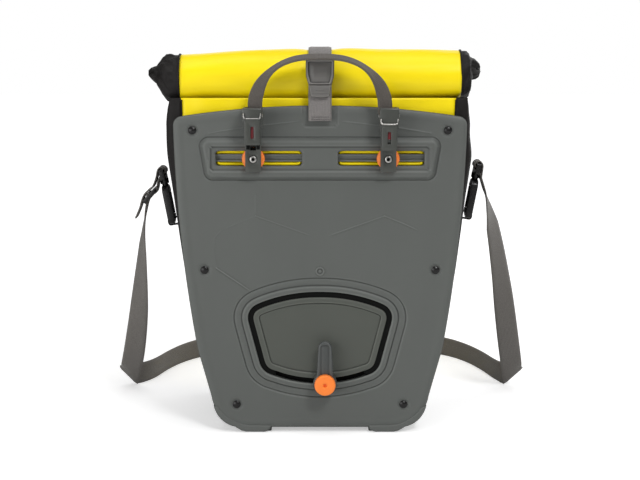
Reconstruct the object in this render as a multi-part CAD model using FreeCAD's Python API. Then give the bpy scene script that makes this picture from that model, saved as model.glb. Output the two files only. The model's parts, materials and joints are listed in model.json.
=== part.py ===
import FreeCAD, Part
import math
import os

# Roll-top pannier bag with a quick-release carrier plate.
# Millimetres. +X is to the right of someone who faces the plate, +Y points into the bag, +Z is up.
# While it is modelled, Y = 0 is the plate's outer face. save() shifts everything by PLATE_Y, so that
# the origin is on the ground under the middle of the bag.

V = FreeCAD.Vector
PLATE_Y = -78.0

# Carrier plate
PLATE_T = 3.5
PLATE_TOP = 349.0
PLATE_FOOT = 5.3
PLATE_HALF = 152.8
CORNER_R = 32.0
RIVET_R = 4.2
RIVETS = {"top": (132.7, 323.5), "middle": (121.5, 176.5), "bottom": (89.0, 31.0)}

# Raised boss with the two windows, and the rail behind them
BOSS_H = 4.0
BOSS_TOP, BOSS_BOTTOM = 315.6, 272.0
BOSS_HALF_TOP, BOSS_HALF_BOTTOM = 124.7, 120.3
CHANNEL_TOP, CHANNEL_BOTTOM = 307.4, 281.0
WINDOW_X0, WINDOW_X1 = 18.8, 108.5
WINDOW_Z0, WINDOW_Z1 = 286.6, 302.2
RAIL_Z = 294.4
RAIL_H = 7.8
RAIL_Y0, RAIL_Y1 = 3.7, 8.0

# Upper hooks
HOOK_X = {"left": -69.0, "right": 70.6}
HOOK_W = 16.4
TUBE_R = 6.2
TUBE_Y, TUBE_Z = -18.8, 326.8
SPINE_Y0, SPINE_Y1 = -4.6, -12.6
HOUSING_W = 19.6
HOUSING_Z0, HOUSING_TOP = 333.0, 348.0
NOSE_Y0, NOSE_Y1 = -26.7, -29.0
NOSE_FOOT = 313.0
LINER_Y0, LINER_TOP = -25.1, 332.4
COVER_Y1 = -31.3
COVER_TOP = {"left": 337.0, "right": 331.5}
COVER_H = 26.5
LATCH_Y, LATCH_Z = -8.4, 317.0
LATCH_REACH = 13.6
LIFT_Z = 339.6
LIFT_TRAVEL = 5.0
WHEEL_R, WHEEL_Y0, WHEEL_Y1 = 12.0, -4.3, -8.3

# Handle
HANDLE_BASE_Z, HANDLE_TOP_Z = 352.8, 399.0
HANDLE_Y, HANDLE_W = -19.0, 14.0

# Lower hook and its curved track
TRACK_R, TRACK_CZ = 132.0, 188.5
TRACK_ANGLE = 2.3
GROOVE_W = 5.4
ARM_LENGTH = 46.0
ARM_Y0, ARM_Y1 = -11.0, -15.0
KNOB_R = 11.2

# Bag shell
SHELL = 2.0
BAG_BACK, BAG_FRONT = 8.6, 183.0
BAG_FLOOR = 7.6
BAG_TOP = 356.4
BASE_TOP = 24.0
ROLL_Y, ROLL_Z, ROLL_RY, ROLL_RZ = 34.5, 381.0, 25.5, 24.2
ROLL_HALF = 146.0

# Webbing
WEB = 1.8
CLOSURE_W = 24.0
STRAP_W = 25.0
STRAP_R = 4.0

# Side snap hooks, which hang on loops at the bag's sides
SNAP_Y = 75.0
SNAP_FOOT = {"left": (-161.5, 215.5), "right": (161.5, 222.0)}
SNAP_TILT = 10.5

# Shoulder strap: down the left side, around behind the bag on its edge, and up the right side
STRAP_DOWN = [
    (-193, 77, 236), (-195.5, 85, 206), (-199, 96, 172), (-203, 110, 137),
    (-208, 127, 102), (-214.5, 147, 68), (-222, 172, 37), (-230, 199, 14),
]
STRAP_FLOOR = [
    (-230, 199, 12.5), (-214, 214, 12.5), (-202, 240, 12.5), (-192, 280, 12.5),
    (-173, 327, 12.5), (-142, 364, 12.5), (-95, 390, 12.5), (-42, 402, 12.5),
    (15, 405, 12.5), (71, 400, 12.5), (121, 385, 12.5), (164, 359, 12.5),
    (188, 322, 12.5), (204, 277, 12.5), (213, 238, 12.5), (220, 213, 12.5), (232, 198, 12.5),
]
STRAP_UP = [
    (232, 198, 14), (226, 172, 39), (219, 148, 71), (212, 127, 107),
    (205, 109, 145), (197.5, 95, 183), (189, 84.5, 221), (179, 77, 258),
]


def box(x0, x1, y0, y1, z0, z1):
    corner = V(min(x0, x1), min(y0, y1), min(z0, z1))
    return Part.makeBox(abs(x1 - x0), abs(y1 - y0), abs(z1 - z0), corner)


def rod(x, y, z, r, length, axis):
    """A cylinder of that length, centred on the point."""
    a = V(*axis)
    return Part.makeCylinder(r, length, V(x, y, z) - a * (length / 2), a)


def disc(x, z, r, y0, y1):
    return Part.makeCylinder(r, abs(y1 - y0), V(x, min(y0, y1), z), V(0, 1, 0))


def arc(a, b, c):
    return Part.Arc(V(*a), V(*b), V(*c)).toShape()


def line(a, b):
    return Part.LineSegment(V(*a), V(*b)).toShape()


def flip(shape):
    """The mirror image on the other side of X = 0."""
    return shape.mirror(V(0, 0, 0), V(1, 0, 0))


def mirror_closed(edges):
    """A closed wire from the edges of its right half and their mirror images."""
    return Part.Wire(Part.__sortEdges__(edges + [flip(e) for e in edges]))


def slab(wire, y0, y1):
    """The wire, drawn at Y = 0, filled and extruded from y0 to y1."""
    face = Part.Face(wire)
    face.translate(V(0, min(y0, y1), 0))
    return face.extrude(V(0, abs(y1 - y0), 0))


def side_slab(points, half_width, x=0.0):
    """A (y, z) polygon extruded along X, centred on x."""
    loop = [V(x - half_width, y, z) for y, z in points]
    face = Part.Face(Part.makePolygon(loop + [loop[0]]))
    return face.extrude(V(2 * half_width, 0, 0))


def soften(shape, radius, axis=None):
    """Round the edges that run along axis, or all of them."""
    chosen = [e for e in shape.Edges if along(e, axis)]
    return shape.makeFillet(radius, chosen)


def along(edge, axis):
    if axis is None:
        return True
    if not isinstance(edge.Curve, Part.Line):
        return False
    return abs(edge.tangentAt(edge.FirstParameter).dot(V(*axis))) > 0.999


def runs_and_arcs(points):
    """Straight runs joined by tangent arcs, as large as each pair of runs allows, and their radii."""
    points = [V(*p) for p in points]
    edges, radii, start = [], [], points[0]
    for before, corner, after in zip(points, points[1:], points[2:]):
        back, on = (before - corner), (after - corner)
        reach = 0.45 * min(back.Length, on.Length)
        back.normalize()
        on.normalize()
        turn = math.pi - back.getAngle(on)
        enter, leave = corner + back * reach, corner + on * reach
        radius = reach / math.tan(turn / 2)
        bisector = back + on
        bisector.normalize()
        middle = corner + bisector * (radius / math.cos(turn / 2) - radius)
        edges += [Part.LineSegment(start, enter).toShape(), Part.Arc(enter, middle, leave).toShape()]
        radii.append(radius)
        start = leave
    edges.append(Part.LineSegment(start, points[-1]).toShape())
    return edges, radii


def thicken(edges, normal, thickness):
    """A face of that thickness about a planar path of lines and arcs."""
    near, far = [], []
    for edge in edges:
        ends = (edge.FirstParameter, (edge.FirstParameter + edge.LastParameter) / 2, edge.LastParameter)
        pairs = []
        for t in ends:
            side = edge.tangentAt(t).cross(normal) * (thickness / 2)
            pairs.append((edge.valueAt(t) + side, edge.valueAt(t) - side))
        for path, k in ((near, 0), (far, 1)):
            a, m, b = (pair[k] for pair in pairs)
            straight = isinstance(edge.Curve, Part.Line)
            path.append(Part.LineSegment(a, b).toShape() if straight else Part.Arc(a, m, b).toShape())
    caps = [
        Part.LineSegment(near[0].valueAt(near[0].FirstParameter), far[0].valueAt(far[0].FirstParameter)),
        Part.LineSegment(near[-1].valueAt(near[-1].LastParameter), far[-1].valueAt(far[-1].LastParameter)),
    ]
    wire = Part.Wire(Part.__sortEdges__(near + far + [c.toShape() for c in caps]))
    return Part.Face(wire)


def ribbon(points, normal, width, thickness):
    """Webbing along a planar route, with its width along normal. Prints how the solid compares."""
    n = V(*normal)
    n.normalize()
    edges, radii = runs_and_arcs(points)
    face = thicken(edges, n, thickness)
    face.translate(n * (-width / 2))
    solid = face.extrude(n * width)
    length = sum(e.Length for e in edges)
    share = solid.Volume / (length * width * thickness)
    print("route length %.1f  volume share %.4f  radii" % (length, share), [round(r) for r in radii])
    return solid


def tube(points, radius):
    """A round cord along the route. Prints how the solid compares."""
    edges, radii = runs_and_arcs(points)
    start = edges[0].valueAt(edges[0].FirstParameter)
    ring = Part.Wire(Part.makeCircle(radius, start, edges[0].tangentAt(edges[0].FirstParameter)))
    solid = Part.Wire(edges).makePipeShell([ring], True, False, 1)
    length = sum(e.Length for e in edges)
    share = solid.Volume / (length * math.pi * radius ** 2)
    print("route length %.1f  volume share %.4f  radii" % (length, share), [round(r) for r in radii])
    return solid


# ---------------------------------------------------------------- carrier plate

def plate_outline():
    side_top = PLATE_TOP - 20.0
    corner_x = PLATE_HALF - 9.0
    foot_x = 84.0
    foot_z = PLATE_FOOT + CORNER_R
    diagonal = CORNER_R * math.sqrt(0.5)
    return mirror_closed([
        arc((0, 0, PLATE_TOP), (72.0, 0, 346.2), (corner_x, 0, 338.0)),
        arc((corner_x, 0, 338.0), (150.0, 0, 335.2), (PLATE_HALF, 0, side_top)),
        arc((PLATE_HALF, 0, side_top), (146.9, 0, 219.5), (130.0, 0, 91.0)),
        line((130.0, 0, 91.0), (foot_x + CORNER_R, 0, foot_z)),
        arc((foot_x + CORNER_R, 0, foot_z),
            (foot_x + diagonal, 0, foot_z - diagonal), (foot_x, 0, PLATE_FOOT)),
        line((foot_x, 0, PLATE_FOOT), (0, 0, PLATE_FOOT)),
    ])


def shield(grow):
    """The track's shield outline, grown from the groove's inner edge."""
    side, top, foot = 70.6 + grow, 147.2 + grow, 59.2 - grow
    shoulder, hip = 60.0 + grow * 0.75, 48.0 + grow * 0.6
    return mirror_closed([
        arc((0, 0, top), (shoulder / 2, 0, top - 2.9), (shoulder, 0, top - 12.0)),
        arc((shoulder, 0, top - 12.0), (side - 1.8, 0, 131.5 + grow * 0.5), (side, 0, 123.5)),
        line((side, 0, 123.5), (58.6 + grow, 0, 76.0)),
        arc((58.6 + grow, 0, 76.0), (55.6 + grow * 0.9, 0, 71.3 - grow * 0.4), (hip, 0, foot + 9.1)),
        arc((hip, 0, foot + 9.1), (hip / 2, 0, foot + 2.2), (0, 0, foot)),
    ])


def boss_outline(inset):
    top, bottom = BOSS_TOP - inset, BOSS_BOTTOM + inset
    wide, narrow, r = BOSS_HALF_TOP - inset, BOSS_HALF_BOTTOM - inset, 9.0 - inset
    return mirror_closed([
        line((0, 0, top), (wide - r, 0, top)),
        arc((wide - r, 0, top), (wide - 0.3 * r, 0, top - 0.3 * r), (wide, 0, top - r)),
        line((wide, 0, top - r), (narrow, 0, bottom + r)),
        arc((narrow, 0, bottom + r), (narrow - 0.3 * r, 0, bottom + 0.3 * r), (narrow - r, 0, bottom)),
        line((narrow - r, 0, bottom), (0, 0, bottom)),
    ])


def window(x0, x1):
    body = box(x0, x1, -BOSS_H - 1, PLATE_T + 1, WINDOW_Z0, WINDOW_Z1)
    return soften(body, 3.5, (0, 1, 0))


def track_slot():
    """The slot through the plate along the groove's lower arc, for the lower hook's screw."""
    spread = math.radians(21)
    outer, inner = TRACK_R + GROOVE_W / 2, TRACK_R - GROOVE_W / 2

    def at(radius, angle):
        return (radius * math.sin(angle), 0, TRACK_CZ - radius * math.cos(angle))

    edges = [
        arc(at(outer, -spread), at(outer, 0), at(outer, spread)),
        line(at(outer, spread), at(inner, spread)),
        arc(at(inner, spread), at(inner, 0), at(inner, -spread)),
        line(at(inner, -spread), at(outer, -spread)),
    ]
    return slab(Part.Wire(edges), -3.0, PLATE_T + 1)


def back_plate():
    plate = slab(plate_outline(), 0.0, PLATE_T)
    plate = plate.fuse(slab(boss_outline(0.0), -BOSS_H, 0.2))
    plate = plate.fuse(slab(shield(9.6), -0.8, 0.2).cut(slab(shield(5.4), -1.2, 0.4)))
    plate = plate.cut(slab(shield(5.4), -1.2, 1.4).cut(slab(shield(0.0), -1.4, 1.6)))
    plate = plate.cut(slab(shield(0.0), -1.0, 1.2))
    channel_half = WINDOW_X1 + 6.0
    channel = box(-channel_half, channel_half, -BOSS_H - 1, -BOSS_H + 1.2, CHANNEL_BOTTOM, CHANNEL_TOP)
    plate = plate.cut(soften(channel, 4.0, (0, 1, 0)))
    plate = plate.cut(window(WINDOW_X0, WINDOW_X1)).cut(window(-WINDOW_X1, -WINDOW_X0))
    plate = plate.cut(track_slot())
    for x, z in RIVETS.values():
        for side in (-1, 1):
            plate = plate.cut(disc(side * x, z, 1.8, -1, PLATE_T + 1))
    return plate.removeSplitter()


def track_island():
    island = slab(shield(-0.3), -0.4, 1.2)
    panel = slab(shield(-7.0), -1.0, -0.3)
    return island.fuse(panel).cut(track_slot()).removeSplitter()


def rivet_pair(x, z):
    heads = []
    for side in (-1, 1):
        dome = Part.makeSphere(6.4, V(side * x, 4.4, z)).common(disc(side * x, z, RIVET_R, -3.0, 0.0))
        heads.append(dome.fuse(disc(side * x, z, 1.8, -0.2, 8.5)))
    return Part.makeCompound([h.removeSplitter() for h in heads])


def hook_rail():
    half = 116.0
    low, high = RAIL_Z - RAIL_H / 2, RAIL_Z + RAIL_H / 2
    rail = box(-half, half, RAIL_Y0, RAIL_Y1, low, high)
    rail = rail.cut(box(-half + 4, half - 4, RAIL_Y0 + 1.0, RAIL_Y1 - 1.0, low + 0.9, high - 0.9))
    for side in (-1, 1):
        mouth = box(side * 16, side * 111, RAIL_Y0 - 1, RAIL_Y0 + 1.5, RAIL_Z - 2.1, RAIL_Z + 2.1)
        rail = rail.cut(soften(mouth, 2.0, (0, 1, 0)))
    return rail


# ---------------------------------------------------------------- upper hooks

def hook_body(x):
    half = HOOK_W / 2
    foot = box(x - half, x + half, -8.6, SPINE_Y1, 281.0, 311.0)
    spine = box(x - half, x + half, SPINE_Y0, SPINE_Y1, 307.4, 336.0)
    nose = box(x - half, x + half, NOSE_Y0, NOSE_Y1, NOSE_FOOT, 336.0)
    wide = HOUSING_W / 2
    housing = box(x - wide, x + wide, SPINE_Y0, NOSE_Y1, HOUSING_Z0, HOUSING_TOP)
    seat = box(x - wide, x + wide, SPINE_Y1 + 1.0, NOSE_Y0 - 1.0, TUBE_Z, HOUSING_Z0 + 2.0)
    body = foot.fuse([spine, nose, seat, soften(housing, 1.6, (1, 0, 0))])
    body = body.cut(rod(x, TUBE_Y, TUBE_Z, TUBE_R, 40, (1, 0, 0)))
    liner_room = box(x - 7.0, x + 7.0, LINER_Y0, NOSE_Y0, NOSE_FOOT, LINER_TOP)
    body = body.cut(liner_room)
    body = body.cut(box(x - 7.7, x + 7.7, -13.0, -24.8, 337.4, HOUSING_TOP + 1))
    guide = box(x - wide - 1, x + wide + 1, -17.2, -20.8, LIFT_Z - 1.8, LIFT_Z + LIFT_TRAVEL + 1.8)
    body = body.cut(guide)
    body = body.cut(box(x - 3.1, x + 3.1, -4.0, -13.0, 301.2, 320.6))
    body = body.cut(rod(x, LATCH_Y, LATCH_Z, 1.2, 40, (1, 0, 0)))
    body = body.cut(box(x - 1.7, x + 1.7, -26.0, -30.0, 316.0, 330.5))
    body = body.cut(disc(x, RAIL_Z, 2.05, -8.0, -14.0))
    body = body.cut(disc(x, RAIL_Z, 4.4, SPINE_Y1 + 1.2, -14.0))
    return body.removeSplitter()


def hook_insert(x):
    """The exchangeable liner that sizes the jaw to the rack tube, seen through the nose's slot."""
    liner = box(x - 7.0, x + 7.0, LINER_Y0, NOSE_Y0, NOSE_FOOT, LINER_TOP)
    rib = box(x - 1.5, x + 1.5, NOSE_Y0, -28.9, 316.4, 330.1)
    return liner.fuse(rib).removeSplitter()


def jaw_slider(x, top):
    cover = box(x - 7.8, x + 7.8, NOSE_Y1 - 0.3, COVER_Y1, top - COVER_H, top)
    cover = soften(cover, 1.6, (0, 1, 0))
    slot = box(x - 1.6, x + 1.6, NOSE_Y1, COVER_Y1 - 1, top - 20.0, top - 7.6)
    return cover.cut(soften(slot, 1.0, (0, 1, 0)))


def clamp_screw(x):
    head = disc(x, RAIL_Z, 4.2, SPINE_Y1 + 1.2, -14.0)
    socket = disc(x, RAIL_Z, 1.6, -12.6, -14.5)
    shank = disc(x, RAIL_Z, 2.0, SPINE_Y1 + 1.0, 6.8)
    return head.fuse(shank).cut(socket).removeSplitter()


def clamp_nut(x):
    nut = box(x - 5.5, x + 5.5, RAIL_Y0 + 1.1, RAIL_Y1 - 1.1, RAIL_Z - 2.8, RAIL_Z + 2.8)
    return nut.cut(disc(x, RAIL_Z, 2.0, 0, 9))


def clamp_wheel(x):
    wheel = disc(x, RAIL_Z, WHEEL_R, WHEEL_Y0, WHEEL_Y1)
    count = 24
    for i in range(count):
        angle = 2 * math.pi * i / count
        reach = WHEEL_R + 0.5
        cx, cz = x + reach * math.cos(angle), RAIL_Z + reach * math.sin(angle)
        wheel = wheel.cut(disc(cx, cz, 1.0, WHEEL_Y0 + 1, WHEEL_Y1 - 1))
    return wheel.cut(disc(x, RAIL_Z, 2.08, 0, -12))


def latch_pin(x):
    return rod(x, LATCH_Y, LATCH_Z, 1.2, HOOK_W - 0.4, (1, 0, 0))


def latch(x):
    hub = rod(x, LATCH_Y, LATCH_Z, 2.7, 5.4, (1, 0, 0))
    tip_y = LATCH_Y - LATCH_REACH
    claw = side_slab([
        (LATCH_Y, LATCH_Z + 1.9), (tip_y + 2.5, LATCH_Z + 0.9), (tip_y, LATCH_Z + 2.2),
        (tip_y - 0.2, LATCH_Z - 1.0), (tip_y + 3.0, LATCH_Z - 2.2), (LATCH_Y, LATCH_Z - 2.0),
    ], 2.7, x)
    return hub.fuse(claw).cut(rod(x, LATCH_Y, LATCH_Z, 1.26, 20, (1, 0, 0))).removeSplitter()


def lift_bar(x):
    bar = box(x - 7.3, x + 7.3, -16.0, -22.0, LIFT_Z - 1.7, LIFT_Z + 1.9)
    pin = rod(x, -19.0, LIFT_Z, 1.6, HOUSING_W + 1.4, (1, 0, 0))
    return bar.fuse(pin).removeSplitter()


def handle_tab(x):
    return box(x - 7.0, x + 7.0, HANDLE_Y - WEB / 2, HANDLE_Y + WEB / 2, LIFT_Z + 1.9, HANDLE_BASE_Z - 0.5)


def handle_half(side):
    """Half of the webbing handle, from above one hook to the middle."""
    ends = [(side * 66.5, HANDLE_BASE_Z), (side * 49.0, 384.0), (0.3 * side, HANDLE_TOP_Z)]
    edge = arc(*[(x, 0, z) for x, z in ends])
    face = thicken([edge], V(0, 1, 0), WEB)
    face.translate(V(0, HANDLE_Y - HANDLE_W / 2, 0))
    return face.extrude(V(0, HANDLE_W, 0)).common(box(0.3 * side, side * 90, -60, 0, 352.8, 420))


# ---------------------------------------------------------------- lower hook

def knob_centre():
    angle = math.radians(TRACK_ANGLE)
    return TRACK_R * math.sin(angle), TRACK_CZ - TRACK_R * math.cos(angle)


def lower_hook_screw():
    x, z = knob_centre()
    shank = disc(x, z, 2.3, -18.0, 7.6)
    nut = disc(x, z, 6.5, 3.8, 7.6)
    return shank.fuse(nut).removeSplitter()


def lower_hook_arm():
    x, z = knob_centre()
    base = disc(x, z, 12.4, -1.4, ARM_Y1)
    top = z + ARM_LENGTH
    outline = Part.Wire([
        line((x - 8.7, 0, z), (x - 6.8, 0, top - 5.0)),
        arc((x - 6.8, 0, top - 5.0), (x, 0, top), (x + 6.8, 0, top - 5.0)),
        line((x + 6.8, 0, top - 5.0), (x + 8.7, 0, z)),
        line((x + 8.7, 0, z), (x - 8.7, 0, z)),
    ])
    arm = base.fuse(slab(outline, ARM_Y0, ARM_Y1))
    arm = arm.cut(disc(x, z, 2.36, 0, -30))
    return arm.cut(arm_panel(x, z, 0.0)).removeSplitter()


def arm_panel(x, z, gap):
    panel = box(x - 4.6 + gap, x + 4.6 - gap, ARM_Y1 + 1.0 + gap, ARM_Y1 - 0.6, z + 14.5 + gap, z + 42.5 - gap)
    return soften(panel, 3.0, (0, 1, 0))


def lower_hook_pad():
    x, z = knob_centre()
    return arm_panel(x, z, 0.0).common(box(x - 9, x + 9, ARM_Y1 + 1.0, ARM_Y1 + 0.3, 0, 200))


def lower_hook_knob():
    x, z = knob_centre()
    knob = disc(x, z, KNOB_R, ARM_Y1 - 0.2, ARM_Y1 - 6.0)
    knob = knob.cut(disc(x, z, 2.36, -10, -22))
    count = 12
    for i in range(count):
        angle = 2 * math.pi * (i + 0.5) / count
        reach = KNOB_R + 1.2
        cx, cz = x + reach * math.cos(angle), z + reach * math.sin(angle)
        knob = knob.cut(disc(cx, cz, 2.0, -14, -22))
    return knob


# ---------------------------------------------------------------- bag shell

def front_outline(inset):
    """The bag's outline seen from the plate, at Y = 0."""
    top, floor = 380.0, BAG_FLOOR + inset
    waist, hip, heel, toe = 151.0 - inset, 128.0 - inset, 114.0 - inset, 84.0
    return mirror_closed([
        line((0, 0, top), (165.0 - inset, 0, top)),
        line((165.0 - inset, 0, top), (165.0 - inset, 0, 330.0)),
        arc((165.0 - inset, 0, 330.0), (waist, 0, 210.0), (hip, 0, 92.0)),
        line((hip, 0, 92.0), (heel, 0, 40.0)),
        arc((heel, 0, 40.0), (heel - 9.0, 0, floor + 10.0), (toe, 0, floor)),
        line((toe, 0, floor), (0, 0, floor)),
    ])


def side_profile(inset):
    """The bag's outline seen from its side, extruded wider than the bag."""
    points = [
        (BAG_BACK + inset, BAG_FLOOR + inset), (BAG_BACK + inset, BAG_TOP - inset),
        (54.0 - 0.4 * inset, BAG_TOP - inset), (110.0 - 0.4 * inset, 346.0 - inset),
        (150.0 - 0.6 * inset, 331.0 - inset), (172.0 - 0.9 * inset, 311.0 - 0.6 * inset),
        (BAG_FRONT - inset, 282.0), (BAG_FRONT - inset, 180.0), (177.0 - inset, 60.0),
        (172.0 - inset, 24.0), (160.0, BAG_FLOOR + inset),
    ]
    return side_slab(points, 200.0)


def bag_shell():
    """The bag's fabric as one closed shell."""
    outside = slab(front_outline(0.0), 0, 200).common(side_profile(0.0))
    inside = slab(front_outline(SHELL), 0, 200).common(side_profile(SHELL))
    return outside.cut(inside)


def shell_panels():
    """The shell cut into the panels that are sewn together."""
    shell = bag_shell()
    low = box(-300, 300, -10, 300, 0, BASE_TOP)
    high = shell.cut(low)
    between = high.common(slab(front_outline(SHELL), 0, 200))
    gussets = high.cut(slab(front_outline(SHELL), 0, 200))
    back = box(-300, 300, -10, BAG_BACK + SHELL, 0, 400)
    return {
        "base_panel": shell.common(low),
        "rear_panel": between.common(back),
        "front_panel": between.cut(back),
        "side_gusset_left": gussets.common(box(-300, 0, -10, 300, 0, 400)),
        "side_gusset_right": gussets.common(box(0, 300, -10, 300, 0, 400)),
    }


def roll_top():
    ellipse = Part.Ellipse(V(0, 0, 0), ROLL_RY, ROLL_RZ).toShape()
    face = Part.Face(Part.Wire(ellipse))
    roll = face.extrude(V(0, 0, 2 * ROLL_HALF))
    roll.rotate(V(0, 0, 0), V(0, 0, 1), 90)
    roll.rotate(V(0, 0, 0), V(0, 1, 0), 90)
    roll.translate(V(-ROLL_HALF, ROLL_Y, ROLL_Z))
    return roll.cut(roll_stiffener())


def roll_stiffener():
    return box(-ROLL_HALF + 4, ROLL_HALF - 4, ROLL_Y - 12, ROLL_Y + 12, ROLL_Z - 1, ROLL_Z + 1)


def roll_end(sign, tip):
    outline = [
        (ROLL_HALF, 404.0), (ROLL_HALF + 18, 399.0), (tip - 8, 390.0), (tip, 382.5),
        (tip - 6, 370.0), (ROLL_HALF + 21, 364.0), (ROLL_HALF + 16, 359.0), (ROLL_HALF, 358.0),
    ]
    loop = [V(sign * x, 0, z) for x, z in outline]
    return slab(Part.makePolygon(loop + [loop[0]]), ROLL_Y - 21, ROLL_Y + 21)


def base_tray():
    """The moulded cup around the bag's lower edge, with four feet."""
    def outline(inset):
        half, foot, r = 118.0 - inset, 4.9 + inset, 33.0 - inset
        return mirror_closed([
            line((0, 0, 29.0), (half, 0, 29.0)),
            arc((half, 0, 29.0), (half - 8.5, 0, 13.0 + inset), (half - r, 0, foot)),
            line((half - r, 0, foot), (0, 0, foot)),
        ])

    cup = slab(outline(0.0), 3.7, 179.0).cut(slab(outline(2.0), 5.6, 177.0))
    cup = cup.cut(box(-200, 200, 5.6, 177.0, 28.9, 40))
    for side in (-1, 1):
        for y0, y1 in ((6.0, 26.0), (140.0, 160.0)):
            foot = soften(box(side * 54.0, side * 88.0, y0, y1, 0.0, 6.0), 2.0, (0, 0, 1))
            cup = cup.fuse(foot.cut(slab(outline(2.0), 5.6, 177.0)))
    return cup.removeSplitter()


# ---------------------------------------------------------------- closure

def closure_strap():
    """Webbing from the front patch, over the roll, down into the buckle, and the stitched end below."""
    clear = WEB / 2 + 0.5
    r_y, r_z = ROLL_RY + clear, ROLL_RZ + clear
    over = [
        (0, 184.8, 250), (0, 184.9, 286), (0, 173.5, 313), (0, 151.0, 333.5), (0, 110.0, 348.5),
        (0, 72.0, 358.5), (0, 58.0, 378.0), (0, ROLL_Y + 0.75 * r_y, ROLL_Z + 0.75 * r_z),
        (0, ROLL_Y, ROLL_Z + r_z + 3.0), (0, ROLL_Y - 0.75 * r_y, ROLL_Z + 0.78 * r_z),
        (0, 4.5, 391.0), (0, 0.0, 366.0), (0, -4.8, 348.0), (0, -5.2, 333.5),
    ]
    return ribbon(over, (1, 0, 0), CLOSURE_W, WEB)


def buckle_outline(gap):
    return mirror_closed([
        line((0, 0, 396.6 - gap), (14.6 - gap, 0, 396.6 - gap)),
        line((14.6 - gap, 0, 396.6 - gap), (14.6 - gap, 0, 380.0)),
        line((14.6 - gap, 0, 380.0), (11.0 - gap, 0, 369.6)),
        line((11.0 - gap, 0, 369.6), (0, 0, 369.6)),
    ])


def buckle_frame():
    frame = slab(buckle_outline(0.0), -1.4, -4.6).cut(box(-11.0, 11.0, 0, -6, 372.6, 392.0))
    frame = frame.common(box(-20, 20, 0, -6, 369.0, 396.6))
    ears = []
    for side in (-1, 1):
        ears.append(box(side * 9.6, side * 11.6, -4.6, -8.6, 371.0, 376.5))
    pin = rod(0, -6.6, 373.8, 1.2, 23.2, (1, 0, 0))
    return frame.fuse(ears + [pin]).removeSplitter()


def buckle_lever():
    hub = rod(0, -6.6, 373.8, 2.0, 18.4, (1, 0, 0))
    tongue = box(-9.2, 9.2, -5.6, -8.0, 358.0, 373.8)
    lever = hub.fuse(soften(tongue, 0.8, (1, 0, 0)))
    return lever.cut(rod(0, -6.6, 373.8, 1.26, 30, (1, 0, 0))).removeSplitter()


def front_patch():
    patch = box(-22, 22, BAG_FRONT + 0.05, BAG_FRONT + 0.85, 234, 268)
    return soften(patch, 5.0, (0, 1, 0))


def reflector():
    return disc(0, 150, 24.0, 182.0, 183.6).cut(side_profile(0.0))


# ---------------------------------------------------------------- side hooks and shoulder strap

def placed(shape, side):
    """A piece of a snap hook, built upright with its tip at the origin, set at the bag's side."""
    x, z = SNAP_FOOT[side]
    tilt = -SNAP_TILT if side == "left" else SNAP_TILT
    shape.rotate(V(0, 0, 0), V(0, 1, 0), tilt)
    shape.translate(V(x, SNAP_Y, z))
    return shape


def side_loop(side):
    """Webbing sewn to the bag's side, with the snap hook's lower bar inside it."""
    x, z = SNAP_FOOT[side]
    sign = -1 if side == "left" else 1
    inside = sign * 145.0
    outer = box(inside, x + sign * 8.8, SNAP_Y - 4, SNAP_Y + 4, z - 5.0, z + 9.6)
    inner = box(inside, x + sign * 7.4, SNAP_Y - 5, SNAP_Y + 5, z - 3.6, z + 8.2)
    sewn = box(inside, sign * (abs(x) - 7.6), SNAP_Y - 4, SNAP_Y + 4, z - 16.0, z + 9.6)
    return outer.cut(inner).fuse(sewn).cut(slab(front_outline(0.0), 0, 200)).removeSplitter()


def strap_eye(side):
    ring = soften(box(-2.6, 2.6, -15.5, 15.5, 49.5, 62.0), 2.2, (1, 0, 0))
    ring = ring.cut(box(-4, 4, -12.8, 12.8, 54.0, 58.6))
    collar = rod(0, 0, 48.0, 4.7, 6.0, (0, 0, 1))
    return placed(ring.fuse(collar).cut(rod(0, 0, 46.0, 2.55, 8.0, (0, 0, 1))).removeSplitter(), side)


def snap_body(side):
    outer = soften(box(-4.6, 4.6, -11.5, 11.5, 0.0, 43.0), 7.0, (1, 0, 0))
    inner = soften(box(-6, 6, -6.8, 6.8, 4.8, 37.5), 4.5, (1, 0, 0))
    mouth = box(-6, 6, 6.0, 12.5, 10.0, 35.0)
    post = rod(0, 0, 46.0, 2.5, 7.0, (0, 0, 1))
    return placed(outer.cut(inner).cut(mouth).fuse(post).removeSplitter(), side)


def snap_gate(side):
    bar = soften(box(-3.8, 3.8, 7.6, 10.9, 10.3, 34.7), 1.2, (1, 0, 0))
    return placed(bar, side)


def strap_adjuster():
    """A ladder lock on the shoulder strap, seen on its edge from the plate's side."""
    frame = soften(box(-2.5, 2.5, -15.5, 15.5, -9.5, 9.5), 2.0, (1, 0, 0))
    for z in (-5.0, 1.4):
        frame = frame.cut(box(-4, 4, -12.8, 12.8, z, z + 3.6))
    frame.rotate(V(0, 0, 0), V(0, 1, 0), 42)
    frame.translate(V(-185.5, SNAP_Y, 247.0))
    return frame


def shoulder_straps():
    return {
        "shoulder_strap_left": tube(STRAP_DOWN, STRAP_R),
        "shoulder_strap_floor": ribbon(STRAP_FLOOR, (0, 0, 1), STRAP_W, WEB),
        "shoulder_strap_right": tube(STRAP_UP, STRAP_R),
    }


# ---------------------------------------------------------------- writing the nodes

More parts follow.
